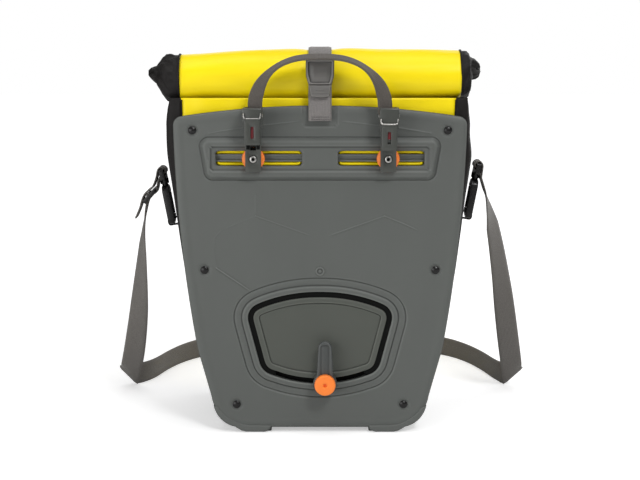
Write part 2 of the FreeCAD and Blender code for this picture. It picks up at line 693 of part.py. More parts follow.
def collect():
    nodes = {
        "back_plate": back_plate(), "track_island": track_island(), "hook_rail": hook_rail(),
        "lower_hook_screw": lower_hook_screw(), "lower_hook_arm": lower_hook_arm(),
        "lower_hook_pad": lower_hook_pad(), "lower_hook_knob": lower_hook_knob(),
        "roll_top": roll_top(), "roll_stiffener": roll_stiffener(),
        "roll_end_left": roll_end(-1, 180.0), "roll_end_right": roll_end(1, 172.0),
        "base_tray": base_tray(), "closure_strap": closure_strap(),
        "buckle_frame": buckle_frame(), "buckle_lever": buckle_lever(),
        "front_patch": front_patch(), "reflector": reflector(), "strap_adjuster": strap_adjuster(),
    }
    nodes.update(shell_panels())
    nodes.update(shoulder_straps())
    for place, (x, z) in RIVETS.items():
        nodes["rivets_" + place] = rivet_pair(x, z)
    for side, x in HOOK_X.items():
        sign = -1 if side == "left" else 1
        nodes.update({
            "hook_body_" + side: hook_body(x), "hook_insert_" + side: hook_insert(x),
            "clamp_screw_" + side: clamp_screw(x), "clamp_nut_" + side: clamp_nut(x),
            "clamp_wheel_" + side: clamp_wheel(x), "latch_pin_" + side: latch_pin(x),
            "latch_" + side: latch(x), "jaw_slider_" + side: jaw_slider(x, COVER_TOP[side]),
            "lift_bar_" + side: lift_bar(x), "handle_tab_" + side: handle_tab(x),
            "handle_half_" + side: handle_half(sign), "side_loop_" + side: side_loop(side),
            "strap_eye_" + side: strap_eye(side), "snap_body_" + side: snap_body(side),
            "snap_gate_" + side: snap_gate(side),
        })
    return nodes


def save(name, shape):
    shape.translate(V(0, PLATE_Y, 0))
    shape.exportStep("parts/%s.step" % name)
    bounds = shape.BoundBox
    print("%-22s solids %d valid %s  volume %8.0f  x %7.1f %7.1f  y %7.1f %7.1f  z %6.1f %6.1f" % (
        name, len(shape.Solids), shape.isValid(), shape.Volume,
        bounds.XMin, bounds.XMax, bounds.YMin, bounds.YMax, bounds.ZMin, bounds.ZMax))


os.makedirs("parts", exist_ok=True)
for node, solid in collect().items():
    save(node, solid)
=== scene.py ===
import json
import math

import bmesh
import bpy
import numpy as np
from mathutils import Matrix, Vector, noise
from mathutils.geometry import delaunay_2d_cdt
from mathutils.kdtree import KDTree

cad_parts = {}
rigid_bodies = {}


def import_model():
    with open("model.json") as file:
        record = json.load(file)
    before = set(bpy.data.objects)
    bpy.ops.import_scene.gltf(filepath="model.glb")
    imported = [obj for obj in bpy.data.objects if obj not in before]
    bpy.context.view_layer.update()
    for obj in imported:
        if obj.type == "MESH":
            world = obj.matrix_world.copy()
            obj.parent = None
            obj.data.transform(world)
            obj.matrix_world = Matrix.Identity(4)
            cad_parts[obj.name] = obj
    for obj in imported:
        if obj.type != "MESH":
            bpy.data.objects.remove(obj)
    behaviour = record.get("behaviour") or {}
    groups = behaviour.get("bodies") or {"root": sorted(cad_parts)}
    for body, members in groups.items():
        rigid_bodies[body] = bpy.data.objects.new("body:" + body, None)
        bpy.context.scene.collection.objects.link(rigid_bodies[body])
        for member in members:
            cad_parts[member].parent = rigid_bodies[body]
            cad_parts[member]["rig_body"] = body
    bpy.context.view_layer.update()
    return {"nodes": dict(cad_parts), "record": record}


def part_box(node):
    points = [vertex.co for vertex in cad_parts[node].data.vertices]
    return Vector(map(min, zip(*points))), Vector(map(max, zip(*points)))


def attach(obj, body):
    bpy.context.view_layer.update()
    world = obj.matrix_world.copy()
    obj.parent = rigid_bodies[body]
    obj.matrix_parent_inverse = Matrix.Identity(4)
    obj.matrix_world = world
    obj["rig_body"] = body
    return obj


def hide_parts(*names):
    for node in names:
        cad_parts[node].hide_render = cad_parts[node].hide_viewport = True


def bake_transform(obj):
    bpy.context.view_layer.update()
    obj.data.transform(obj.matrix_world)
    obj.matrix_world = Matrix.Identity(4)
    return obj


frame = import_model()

# Roll-top pannier bag. Metres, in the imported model's frame: +Z up, -Y towards the plate's side.

PLATE_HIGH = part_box("back_plate")[1]
PLATE_THICKNESS = 0.0035
FACE_Y = PLATE_HIGH.y - PLATE_THICKNESS     # the plate's outer face
MM = 0.001
SIGNS = {"left": -1, "right": 1}            # left is towards -X


def srgb(r, g, b):
    """A linear colour from an sRGB one in 0 to 255."""
    def channel(v):
        v /= 255
        return v / 12.92 if v <= 0.04045 else ((v + 0.055) / 1.055) ** 2.4
    return (channel(r), channel(g), channel(b), 1.0)


def grey(level):
    return (level, level, level, 1.0)


# ---------------------------------------------------------------- camera, floor and light

SENSOR_WIDTH = 36.0
CAMERA_DISTANCE = 1.5
CAMERA_ELEVATION = math.radians(9.0)
CAMERA_HEIGHT_AIM = 0.2
FRAMING_AIM = 0.2084
FIELD_AT_AIM = 0.672


def make_camera():
    data = bpy.data.cameras.new("camera")
    data.sensor_width = SENSOR_WIDTH
    data.lens = SENSOR_WIDTH * CAMERA_DISTANCE / FIELD_AT_AIM
    camera = bpy.data.objects.new("camera", data)
    bpy.context.scene.collection.objects.link(camera)
    place = Vector((0.0, FACE_Y - CAMERA_DISTANCE * math.cos(CAMERA_ELEVATION),
                    CAMERA_HEIGHT_AIM + CAMERA_DISTANCE * math.sin(CAMERA_ELEVATION)))
    camera.location = place
    towards = Vector((0.0, FACE_Y, FRAMING_AIM)) - place
    camera.rotation_euler = towards.to_track_quat("-Z", "Y").to_euler()
    bpy.context.scene.camera = camera


def area_light(name, place, aim, size, power):
    data = bpy.data.lights.new(name, "AREA")
    data.shape = "RECTANGLE"
    data.size, data.size_y = size
    data.energy = power
    light = bpy.data.objects.new(name, data)
    light.location = place
    light.rotation_euler = (Vector(aim) - Vector(place)).to_track_quat("-Z", "Y").to_euler()
    bpy.context.scene.collection.objects.link(light)


def make_stage():
    bpy.ops.mesh.primitive_plane_add(size=14, location=(0, 0, 0))
    floor = bpy.context.object
    floor.name = "floor"
    floor.data.materials.append(floor_material())
    world = bpy.data.worlds.new("world")
    world.use_nodes = True
    tree = world.node_tree
    light = tree.nodes["Background"]
    light.inputs["Color"].default_value = grey(1.0)
    light.inputs["Strength"].default_value = 0.24
    seen = tree.nodes.new("ShaderNodeBackground")
    seen.inputs["Color"].default_value = grey(1.0)
    path = tree.nodes.new("ShaderNodeLightPath")
    choice = tree.nodes.new("ShaderNodeMixShader")
    tree.links.new(path.outputs["Is Camera Ray"], choice.inputs[0])
    tree.links.new(light.outputs[0], choice.inputs[1])
    tree.links.new(seen.outputs[0], choice.inputs[2])
    tree.links.new(choice.outputs[0], tree.nodes["World Output"].inputs["Surface"])
    bpy.context.scene.world = world
    middle = (0, 0, 0.2)
    area_light("key", (0.6, -1.35, 1.45), middle, (0.4, 0.4), 13)
    area_light("fill", (-1.15, -1.2, 0.3), middle, (1.3, 1.0), 13)
    area_light("top", (0.0, -0.3, 1.6), middle, (1.5, 0.8), 8)
    area_light("back", (0.3, 1.6, 1.2), middle, (1.6, 1.0), 6)
    area_light("side", (1.35, 0.9, 0.7), middle, (0.9, 0.9), 9)
    bpy.context.scene.view_settings.view_transform = "Standard"


# ---------------------------------------------------------------- materials

class Nodes:
    """A short way to write a node material."""

    def __init__(self, name):
        self.material = bpy.data.materials.new(name)
        self.material.use_nodes = True
        self.tree = self.material.node_tree
        self.shader = self.tree.nodes["Principled BSDF"]
        self.coords = self.tree.nodes.new("ShaderNodeTexCoord")

    def add(self, kind, inputs=None, **settings):
        node = self.tree.nodes.new(kind)
        for key, value in settings.items():
            setattr(node, key, value)
        for key, value in (inputs or {}).items():
            self.put(node.inputs[key], value)
        return node

    def put(self, socket, value):
        if isinstance(value, bpy.types.NodeSocket):
            self.tree.links.new(value, socket)
        else:
            socket.default_value = value

    def mapping(self, scale, source="Object", turn=(0, 0, 0)):
        inputs = {"Vector": self.coords.outputs[source], "Scale": scale, "Rotation": turn}
        return self.add("ShaderNodeMapping", inputs).outputs["Vector"]

    def noise(self, vector, scale, detail=3.0, roughness=0.55):
        inputs = {"Vector": vector, "Scale": scale, "Detail": detail, "Roughness": roughness}
        return self.add("ShaderNodeTexNoise", inputs).outputs["Fac"]

    def math(self, operation, a, b=0.0):
        node = self.add("ShaderNodeMath", operation=operation)
        self.put(node.inputs[0], a)
        self.put(node.inputs[1], b)
        return node.outputs[0]

    def ramp(self, factor, *stops):
        node = self.add("ShaderNodeValToRGB", {"Fac": factor})
        ramp = node.color_ramp
        while len(ramp.elements) < len(stops):
            ramp.elements.new(0.5)
        for element, (place, colour) in zip(ramp.elements, stops):
            element.position = place
            element.color = colour
        return node.outputs["Color"]

    def spread(self, value, low, high, start=0.0, end=1.0):
        """The value's stretch from start to end, drawn out to run from low to high."""
        inputs = {"Value": value, "From Min": start, "From Max": end, "To Min": low, "To Max": high}
        return self.add("ShaderNodeMapRange", inputs).outputs["Result"]

    def over(self, share, under, colour):
        """A plain colour laid over another by that share."""
        inputs = {"Factor": share, "A": under, "B": colour}
        return self.add("ShaderNodeMix", inputs, data_type="RGBA").outputs["Result"]

    def rounded(self, radius):
        """The surface's normal with its sharp edges rounded off."""
        return self.add("ShaderNodeBevel", {"Radius": radius}, samples=4).outputs["Normal"]

    def bump(self, height, strength, distance, normal=None):
        inputs = {"Height": height, "Strength": strength, "Distance": distance}
        if normal is not None:
            inputs["Normal"] = normal
        return self.add("ShaderNodeBump", inputs).outputs["Normal"]

    def finish(self, **inputs):
        for key, value in inputs.items():
            self.put(self.shader.inputs[key.replace("_", " ")], value)
        return self.material


def shade(colour, factor):
    return tuple(c * factor for c in colour[:3]) + (1.0,)


def floor_material():
    """Pale paper that stays white to the camera far away, and takes the soft shadow near the bag."""
    n = Nodes("floor_paper")
    cloud = n.noise(n.mapping((1, 1, 1)), 2.0)
    white = grey(0.88)
    tone = n.ramp(cloud, (0.3, white), (0.7, shade(white, 0.985)))
    centre = {"Vector": n.coords.outputs["Object"]}
    away = n.add("ShaderNodeVectorMath", centre, operation="LENGTH").outputs["Value"]
    lift = n.spread(away, 0.5, 1.1, 0.5, 2.2)
    seen = n.add("ShaderNodeLightPath").outputs["Is Camera Ray"]
    glow = n.math("MULTIPLY", lift, seen)
    return n.finish(Base_Color=tone, Roughness=0.9, Emission_Color=tone, Emission_Strength=glow)


def moulded_plastic(name, colour, rough=0.55, grain=0.00012, grain_scale=2600.0, relief=False, specular=0.5):
    """Injection-moulded plastic: fine spark-eroded grain, faint flow marks, lighter scuffs. With relief, the
    mesh says where its grooves are, and painted shade darkens them while a painted highlight lightens its
    raised edges."""
    n = Nodes(name)
    place = n.mapping((1, 1, 1))
    flow = n.noise(n.mapping((1, 1, 0.35)), 9.0, 4.0)
    scuff = n.noise(place, 160.0, 6.0, 0.7)
    tone = n.ramp(flow, (0.30, shade(colour, 0.93)), (0.55, colour), (0.80, shade(colour, 1.06)))
    worn = n.ramp(scuff, (0.66, grey(0.0)), (0.78, grey(0.35)))
    surface = n.over(worn, tone, shade(colour, 1.35))
    if relief:
        # Painted shade in the mesh's grooves and a painted highlight on its ridges, after the groove depth
        # that the mesh carries.
        cavity = n.add("ShaderNodeAttribute", attribute_name="cavity").outputs["Fac"]
        for start, end, strength, factor in ((0.02, 0.42, 0.85, 0.22), (-0.02, -0.34, 0.55, 1.8)):
            share = n.spread(cavity, 0.0, strength, start, end)
            surface = n.over(share, surface, shade(colour, factor))
    fine = n.noise(place, grain_scale, 2.0, 0.6)
    normal = n.bump(fine, 0.55, grain, None if relief else n.rounded(0.0007))
    gloss = n.spread(n.noise(place, 45.0), rough - 0.05, rough + 0.06)
    return n.finish(Base_Color=surface, Roughness=gloss, Normal=normal, Specular_IOR_Level=specular)


def metal(name, colour, rough=0.35):
    """Brushed or dull-plated metal, its marks drawn out along X."""
    n = Nodes(name)
    brushed = n.noise(n.mapping((20, 900, 900)), 3.0, 4.0)
    tone = n.ramp(brushed, (0.3, shade(colour, 0.85)), (0.7, shade(colour, 1.1)))
    normal = n.bump(brushed, 0.25, 0.0001, n.rounded(0.0004))
    gloss = n.spread(brushed, rough - 0.07, rough + 0.1)
    return n.finish(Base_Color=tone, Roughness=gloss, Metallic=1.0, Normal=normal)


def coated_fabric(name, colour, rough, weave, period=0.0009, wrinkle=0.0012):
    """Coated tarpaulin: a faint weave under a smooth skin, soft creases and a little handling wear."""
    n = Nodes(name)
    place = n.mapping((1, 1, 1))
    threads = []
    weaving = {"Vector": place, "Scale": math.pi / (10 * period), "Distortion": 0.6, "Detail": 1.0,
               "Detail Scale": 2.0}
    for direction in ("X", "Z"):
        wave = n.add("ShaderNodeTexWave", weaving, bands_direction=direction)
        threads.append(wave.outputs["Fac"])
    soft = n.noise(n.mapping((1, 1, 1.6)), 16.0, 3.0)
    grime = n.noise(place, 38.0, 5.0, 0.65)
    tone = n.ramp(n.noise(place, 7.0), (0.3, shade(colour, 0.94)), (0.7, shade(colour, 1.02)))
    dirt = n.ramp(grime, (0.60, grey(0.0)), (0.80, grey(0.16)))
    surface = n.over(dirt, tone, shade(colour, 0.6))
    normal = n.bump(n.math("ADD", *threads), 0.4, weave)
    normal = n.bump(soft, 0.35, wrinkle, normal)
    gloss = n.spread(n.noise(place, 60.0), rough - 0.05, rough + 0.07)
    return n.finish(Base_Color=surface, Roughness=gloss, Normal=normal, Specular_IOR_Level=0.25)


def webbing(name, colour, rough=0.62):
    """Woven webbing: ribs across, two thread tones. Follows the UV map: u across, v along, in metres."""
    n = Nodes(name)
    place = n.mapping((1, 1, 1), "UV")
    split = n.add("ShaderNodeSeparateXYZ", {"Vector": place})
    along = n.math("SINE", n.math("MULTIPLY", split.outputs["Y"], 2 * math.pi / 0.0017))
    across = n.math("SINE", n.math("MULTIPLY", split.outputs["X"], 2 * math.pi / 0.0016))
    check = n.math("MULTIPLY", along, across)
    ribs = n.math("ADD", n.math("MULTIPLY", check, 0.5), n.math("MULTIPLY", across, 0.25))
    fuzz = n.noise(n.mapping((1, 1, 1)), 900.0, 3.0)
    mix = n.math("ADD", n.math("MULTIPLY", ribs, 0.3), fuzz)
    tone = n.ramp(mix, (0.25, shade(colour, 0.72)), (0.55, colour), (0.85, shade(colour, 1.3)))
    normal = n.bump(ribs, 0.8, 0.00035)
    normal = n.bump(fuzz, 0.3, 0.0002, normal)
    return n.finish(Base_Color=tone, Roughness=rough, Normal=normal, Sheen_Weight=0.15)


COLOURS = {
    "plate": srgb(86, 89, 86), "island": srgb(74, 77, 71), "tray": srgb(88, 91, 88),
    "hook": srgb(66, 68, 64), "black": srgb(20, 19, 19), "yellow": (0.96, 0.75, 0.004, 1.0),
    "gusset": srgb(21, 18, 17), "strap": srgb(104, 100, 95), "closure": srgb(122, 118, 116),
    "handle": srgb(80, 74, 68), "buckle": srgb(101, 99, 96), "orange": srgb(255, 134, 48),
    "red": srgb(120, 30, 36), "steel": srgb(190, 188, 184), "rail": srgb(124, 127, 123),
    "reflector": srgb(190, 194, 196), "thread": srgb(66, 63, 61),
    # A flat near-black that is painted shade, for the pieces set into the hooks' gaps, the screw cups and
    # behind the island's groove and slot.
    "arm": srgb(66, 69, 68), "painted_shade": srgb(14, 15, 14),
}


def make_materials():
    return {
        "plate": moulded_plastic("plate_plastic", COLOURS["plate"], relief=True),
        "island": moulded_plastic("island_plastic", COLOURS["island"], relief=True),
        "tray": moulded_plastic("tray_plastic", COLOURS["tray"]),
        "hook_plastic": moulded_plastic("hook_plastic", COLOURS["hook"], 0.3),
        "arm_plastic": moulded_plastic("arm_plastic", COLOURS["arm"], 0.4, relief=True),
        "case_plastic": moulded_plastic("case_plastic", COLOURS["buckle"], 0.42, relief=True),
        # Painted shade: a dull near-black for sheets set where the parts fall into shadow.
        "painted_shade_black": moulded_plastic("painted_shade_black", COLOURS["painted_shade"], 0.7, specular=0.1),
        "hard_plastic": moulded_plastic("black_plastic", COLOURS["black"], 0.33, specular=0.4),
        "rivet": moulded_plastic("rivet_plastic", COLOURS["black"], 0.25, specular=0.35),
        "orange_plastic": moulded_plastic("orange_plastic", COLOURS["orange"], 0.45, 0.00005),
        "red_plastic": moulded_plastic("red_plastic", COLOURS["red"], 0.4),
        "buckle": moulded_plastic("buckle_plastic", COLOURS["buckle"], 0.42),
        "reflective_film": moulded_plastic("reflective_film", COLOURS["reflector"], 0.3, 0.0001, 1200.0),
        "shell_fabric": coated_fabric("yellow_fabric", COLOURS["yellow"], 0.36, 0.00003),
        "gusset_fabric": coated_fabric("black_fabric", COLOURS["gusset"], 0.55, 0.00025, 0.0012, 0.003),
        "strap_webbing": webbing("strap_webbing", COLOURS["strap"]),
        "closure_webbing": webbing("closure_webbing", COLOURS["closure"], 0.55),
        "handle_webbing": webbing("handle_webbing", COLOURS["handle"]),
        "gusset_webbing": webbing("black_webbing", COLOURS["black"]),
        "thread": webbing("sewing_thread", COLOURS["thread"]),
        "steel": metal("zinc_steel", COLOURS["steel"], 0.3),
        "rail": metal("anodised_rail", COLOURS["rail"], 0.42),
    }


def dress_frame(materials):
    """Every CAD node that stays gets its slot's material."""
    for entry in frame["record"]["subparts"]:
        node = frame["nodes"][entry["node"]]
        node.data.materials.clear()
        node.data.materials.append(materials[entry["material_slot"]])


# ---------------------------------------------------------------- mesh helpers

def row_point(x, y, z):
    """A point in the frame from millimetres, y from the plate's outer face."""
    return Vector((x * MM, FACE_Y + y * MM, z * MM))


def mesh_object(name, points, faces, material, uv=None):
    mesh = bpy.data.meshes.new(name)
    mesh.from_pydata([tuple(p) for p in points], [], [tuple(f) for f in faces])
    mesh.validate()
    if uv is not None:
        layer = mesh.uv_layers.new(name="UVMap")
        for loop in mesh.loops:
            layer.data[loop.index].uv = uv[loop.vertex_index]
    mesh.materials.append(material)
    mesh.polygons.foreach_set("use_smooth", [True] * len(mesh.polygons))
    obj = bpy.data.objects.new(name, mesh)
    bpy.context.scene.collection.objects.link(obj)
    return obj


def grid_faces(rows, columns, closed=False):
    """Quads between rows of points, each row that many columns long."""
    faces = []
    for r in range(rows - 1):
        for c in range(columns if closed else columns - 1):
            d = (c + 1) % columns
            faces.append((r * columns + c, r * columns + d, (r + 1) * columns + d, (r + 1) * columns + c))
    return faces


def capped_faces(rows, columns):
    """The quads of a closed tube, and a face over each of its ends."""
    faces = grid_faces(rows, columns, closed=True)
    faces.append(tuple(reversed(range(columns))))
    faces.append(tuple(range((rows - 1) * columns, rows * columns)))
    return faces


def round_angles(count):
    """Evenly spaced angles, once around."""
    return [2 * math.pi * k / count for k in range(count)]


def smoothstep(a, b, value):
    t = min(max((value - a) / (b - a), 0.0), 1.0)
    return t * t * (3 - 2 * t)


def mix(a, b, t):
    return a + (b - a) * t


def piecewise(table, value):
    """Straight interpolation in a sorted (value, result) table."""
    if value <= table[0][0]:
        return table[0][1]
    for (a, fa), (b, fb) in zip(table, table[1:]):
        if value <= b:
            return mix(fa, fb, (value - a) / (b - a))
    return table[-1][1]


def spline_points(route, resolution=10):
    """The points of a smooth spline through the frame along the route, in metres."""
    data = bpy.data.curves.new("route", "CURVE")
    data.dimensions = "3D"
    data.resolution_u = resolution
    spline = data.splines.new("NURBS")
    spline.points.add(len(route) - 1)
    for point, place in zip(spline.points, route):
        point.co = (*place, 1.0)
    spline.order_u = 3
    spline.use_endpoint_u = True
    carrier = bpy.data.objects.new("route", data)
    bpy.context.scene.collection.objects.link(carrier)
    bpy.context.view_layer.update()
    mesh = bpy.data.meshes.new_from_object(carrier)
    points = [v.co.copy() for v in mesh.vertices]
    bpy.data.objects.remove(carrier)
    bpy.data.meshes.remove(mesh)
    return points


def distances(points):
    """How far along the line each of its points is."""
    along = [0.0]
    for a, b in zip(points, points[1:]):
        along.append(along[-1] + (b - a).length)
    return along


def line_length(points):
    return distances(points)[-1]


def even_points(points, step):
    """The same line with points about step apart."""
    along = distances(points)
    count = max(2, round(along[-1] / step) + 1)
    result, k = [], 0
    for i in range(count):
        target = along[-1] * i / (count - 1)
        while k < len(points) - 2 and along[k + 1] < target:
            k += 1
        span = max(along[k + 1] - along[k], 1e-9)
        result.append(points[k].lerp(points[k + 1], min((target - along[k]) / span, 1.0)))
    return result


def band_section(thickness, columns=9):
    """(across, height) pairs around a webbing's section: across in halves of its width."""
    top = []
    for i in range(columns):
        across = -1 + 2 * i / (columns - 1)
        edge = 0.25 if i in (0, columns - 1) else 1.0
        selvedge = 0.12 if i in (1, columns - 2) else 0.0
        top.append((across, thickness / 2 * (edge + selvedge)))
    return top + [(across, -height) for across, height in reversed(top)]


def band(name, stations, width, thickness, material):
    """Webbing through stations of (centre, half-width direction, normal). A direction may be longer
    than 1 where the band is cut or folded at a slant."""
    section = band_section(thickness)
    along = distances([centre for centre, _, _ in stations])
    points, uv = [], []
    for (centre, side, normal), travelled in zip(stations, along):
        for across, height in section:
            points.append(centre + side * (across * width / 2) + normal * height)
            uv.append((across * width / 2, travelled))
    return mesh_object(name, points, capped_faces(len(stations), len(section)), material, uv)


def across_to(tangent, wish):
    """The unit vector nearest wish that is square to the tangent."""
    side = wish - tangent * wish.dot(tangent)
    return side.normalized()


def tangents(points):
    result = []
    for i in range(len(points)):
        a, b = points[max(i - 1, 0)], points[min(i + 1, len(points) - 1)]
        result.append((b - a).normalized())
    return result


def plain_band(name, route, wish, width, thickness, material, step=0.003):
    """Webbing along a route, its width towards wish all the way."""
    points = even_points(spline_points(route), step)
    stations = []
    for point, tangent in zip(points, tangents(points)):
        side = across_to(tangent, wish)
        stations.append((point, side, side.cross(tangent).normalized()))
    return band(name, stations, width, thickness, material)


# ---------------------------------------------------------------- shoulder strap

STRAP_WIDTH, STRAP_THICKNESS = 0.025, 0.0018
FOLD_R = 0.0016
CREASE_HALF = math.sqrt(2.0)        # a square fold's crease is the diagonal of the band's width
EYE_SLOT = {"left": (-171.75, 270.85), "right": (171.85, 277.4)}
EYE_TILT = math.radians(10.5)
ADJUSTER, ADJUSTER_TILT = (-185.5, 247.0), math.radians(42.0)
STRAP_Y = 75.0
ROUTE_DOWN = [
    (-193, 77, 236), (-195.5, 85, 206), (-199, 96, 172), (-203, 110, 137),
    (-208, 127, 102), (-214.5, 147, 68), (-222, 172, 37), (-230, 199, 14),
]
ROUTE_FLOOR = [
    (-230, 199, 12.5), (-214, 214, 12.5), (-202, 240, 12.5), (-192, 280, 12.5),
    (-173, 327, 12.5), (-142, 364, 12.5), (-95, 390, 12.5), (-42, 402, 12.5),
    (15, 405, 12.5), (71, 400, 12.5), (121, 385, 12.5), (164, 359, 12.5),
    (188, 322, 12.5), (204, 277, 12.5), (213, 238, 12.5), (220, 213, 12.5), (232, 198, 12.5),
]
ROUTE_UP = [
    (232, 198, 14), (226, 172, 39), (219, 148, 71), (212, 127, 107),
    (205, 109, 145), (197.5, 95, 183), (189, 84.5, 221), (179, 77, 258),
]
# How far each leg has turned to face the viewer: (share of its length from the top, share of the turn).
LEFT_TWIST = [
    (0.14, 0.0), (0.22, 0.12), (0.32, 0.31), (0.44, 0.44), (0.57, 0.58), (0.78, 0.76), (0.95, 1.0),
]
RIGHT_TWIST = [
    (0.09, 0.0), (0.16, 0.26), (0.23, 0.44), (0.32, 0.50), (0.45, 0.58), (0.58, 0.71), (0.95, 1.0),
]


def fold_direction(before, after, wish):
    """The crease line of a band that comes along one tangent and is folded over to another."""
    difference = (before - after).normalized()
    middle = (before + after).normalized()
    third = middle.cross(difference).normalized()
    a = math.sqrt(0.5) / middle.dot(before)
    b = math.sqrt(max(1 - a * a, 0.0))
    choices = [-middle * a + third * b, -middle * a - third * b]
    return max(choices, key=lambda d: d.dot(wish))


def near_crease(gap):
    """How far a station that far from a crease has come over to the crease's direction."""
    return smoothstep(0.030, 0.002, gap)


def leg_stations(points, top_wish, fold_wish, crease, twist):
    """One hanging leg, from its top to the crease, turning from edge-on to face-on."""
    stations = []
    total = line_length(points)
    for point, tangent, travelled in zip(points, tangents(points), distances(points)):
        turn = piecewise(twist, travelled / total)
        side = across_to(tangent, top_wish.lerp(fold_wish, turn))
        slanted = side.lerp(crease * CREASE_HALF, near_crease(total - travelled))
        stations.append((point, slanted, side.cross(tangent).normalized()))
    return stations


def floor_stations(points, creases):
    """The part on the floor, standing on its edge and leaning a little this way and that."""
    stations = []
    up = Vector((0, 0, 1))
    total = line_length(points)
    for point, tangent, travelled in zip(points, tangents(points), distances(points)):
        middle = math.sin(math.pi * travelled / total)
        lean = 0.20 * middle * math.sin(9.0 * travelled / total + 0.6)
        outward = tangent.cross(up).normalized()
        side = (up + outward * lean).normalized()
        slanted = side.lerp(creases[0] * CREASE_HALF, near_crease(travelled))
        slanted = slanted.lerp(creases[1] * CREASE_HALF, near_crease(total - travelled))
        stations.append((point, slanted, side.cross(tangent).normalized()))
    return stations


def fold_stations(corner, crease, normal, tangent, steps=8):
    """Half a turn around the crease, from the leg's face to the floor part's, or back."""
    line = crease.normalized()
    out = (tangent - line * tangent.dot(line)).normalized()
    face = (normal - line * normal.dot(line)).normalized()
    out = (out - face * out.dot(face)).normalized()
    stations = []
    for i in range(1, steps):
        angle = math.pi * i / steps
        aim = face * math.cos(angle) + out * math.sin(angle)
        stations.append((corner + aim * FOLD_R, crease * CREASE_HALF, aim))
    return stations


def set_off(stations, from_end):
    """Lift the stations near the crease off its line, so the two layers lie one on the other."""
    along = distances([centre for centre, _, _ in stations])
    result = []
    for (point, side, normal), travelled in zip(stations, along):
        gap = along[-1] - travelled if from_end else travelled
        result.append((point + normal * FOLD_R * smoothstep(0.05, 0.0, gap), side, normal))
    return result


def adjuster_point(across, along):
    """A point beside the adjuster: across its thickness, along it towards the snap hook."""
    x = ADJUSTER[0] + across * math.cos(ADJUSTER_TILT) + along * math.sin(ADJUSTER_TILT)
    z = ADJUSTER[1] - across * math.sin(ADJUSTER_TILT) + along * math.cos(ADJUSTER_TILT)
    return row_point(x, STRAP_Y, z)


def eye_point(side, outward, up):
    """A point near a snap hook's slot, outward from the bag and up along the hook."""
    sign = SIGNS[side]
    x, z = EYE_SLOT[side]
    x += sign * (outward * math.cos(EYE_TILT) + up * math.sin(EYE_TILT))
    z += up * math.cos(EYE_TILT) - outward * math.sin(EYE_TILT)
    return row_point(x, STRAP_Y, z)


def make_strap_ends(material):
    """The two short runs of webbing that are sewn around the snap hooks' slots."""
    depth = Vector((0, 1, 0))
    around = [(0, 0), (-4.3, 0.5), (-4.2, 5.0), (0, 8.4), (4.4, 5.0), (6.0, -1.0)]
    route = [eye_point("left", *p) for p in around]
    route += [adjuster_point(*p) for p in ((-3.4, 9.0), (-5.4, 3.0), (-5.6, -3.0), (-3.2, -10.0))]
    route += [row_point(-196.5, STRAP_Y, 233), row_point(-201.5, STRAP_Y, 222.6)]
    tail = plain_band("strap_tail", route, depth, STRAP_WIDTH, STRAP_THICKNESS, material, 0.0015)
    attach(tail, "bag")

    wrap = around[:-1] + [(5.0, 0.0), (5.2, -5.0), (5.6, -10.0)]
    end = plain_band("strap_end", [eye_point("right", *p) for p in wrap], depth, STRAP_WIDTH,
                     STRAP_THICKNESS, material, 0.0015)
    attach(end, "bag")


def make_shoulder_strap(material):
    lock = [(2.8, 8.0), (1.6, 4.6), (-3.5, 1.6), (-3.5, -1.6), (1.6, -4.6), (2.8, -9.0)]
    left = [eye_point("left", 0, 0), eye_point("left", 5, -4)]
    left += [adjuster_point(*p) for p in lock] + [row_point(*p) for p in ROUTE_DOWN[1:]]
    floor = [row_point(*p) for p in ROUTE_FLOOR]
    right = [row_point(*p) for p in ROUTE_UP] + [eye_point("right", 0, 0)]
    left_line = even_points(spline_points(left), 0.002)
    floor_line = even_points(spline_points(floor), 0.003)
    right_line = even_points(spline_points(list(reversed(right))), 0.003)
    left_end = (left_line[-1] - left_line[-4]).normalized()
    right_end = (right_line[-1] - right_line[-4]).normalized()
    floor_start = (floor_line[3] - floor_line[0]).normalized()
    floor_end = (floor_line[-4] - floor_line[-1]).normalized()
    left_crease = fold_direction(left_end, floor_start, Vector((-1, 0, 1)))
    right_crease = fold_direction(right_end, floor_end, Vector((1, 0, 1)))
    depth = Vector((0, 1, 0))
    down = leg_stations(left_line, depth, Vector((-1, 0, 0)), left_crease, LEFT_TWIST)
    ground = floor_stations(floor_line, (left_crease, right_crease))
    rise = [(point, side, -normal) for point, side, normal in
            reversed(leg_stations(right_line, depth, Vector((1, 0, 0)), right_crease, RIGHT_TWIST))]
    stations = set_off(down, True)
    stations += fold_stations(left_line[-1], left_crease, down[-1][2], left_end)
    stations += set_off(set_off(ground, False), True)
    stations += fold_stations(right_line[-1], right_crease, ground[-1][2], -floor_end)
    stations += set_off(rise, False)
    strap = band("shoulder_strap", stations, STRAP_WIDTH, STRAP_THICKNESS, material)
    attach(strap, "bag")
    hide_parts("shoulder_strap_left", "shoulder_strap_floor", "shoulder_strap_right")
    make_strap_ends(material)


# ---------------------------------------------------------------- bag, as a lofted shell

# All in millimetres. Half width by height, and depth of the far face by height.
HALF_WIDTH = [
    (7.6, 82.5), (10, 91), (17.6, 104), (28, 110.2), (40, 113.6), (92, 127.4), (130, 136.6), (170, 143.4),
    (210, 148.8), (250, 154.2), (290, 160.2), (330, 165), (357, 165.5),
]
FAR_FACE = [
    (7.6, 160), (14, 172), (24, 175), (60, 177.5), (180, 183), (282, 183), (298, 178.5), (311, 172),
    (322, 162), (331, 150), (339, 131), (346, 110), (351.5, 83), (356.4, 54),
]
LEVELS = [7.6, 9, 12, 17, 24, 34, 46] + list(range(58, 290, 9)) + [
    290, 295, 300, 304, 308, 311, 314, 317, 320, 323, 326, 329, 332, 334.5, 337, 339.5, 342, 344.5,
    346.5, 348.5, 350.5, 352.5, 354.5, 356.4]
NEAR_Y = 8.6
GUSSET_WRAP = 21.0          # how far the gussets reach around onto the near face
LOWEST = 7.2                # no cloth hangs lower
ACROSS, AROUND = 61, 47


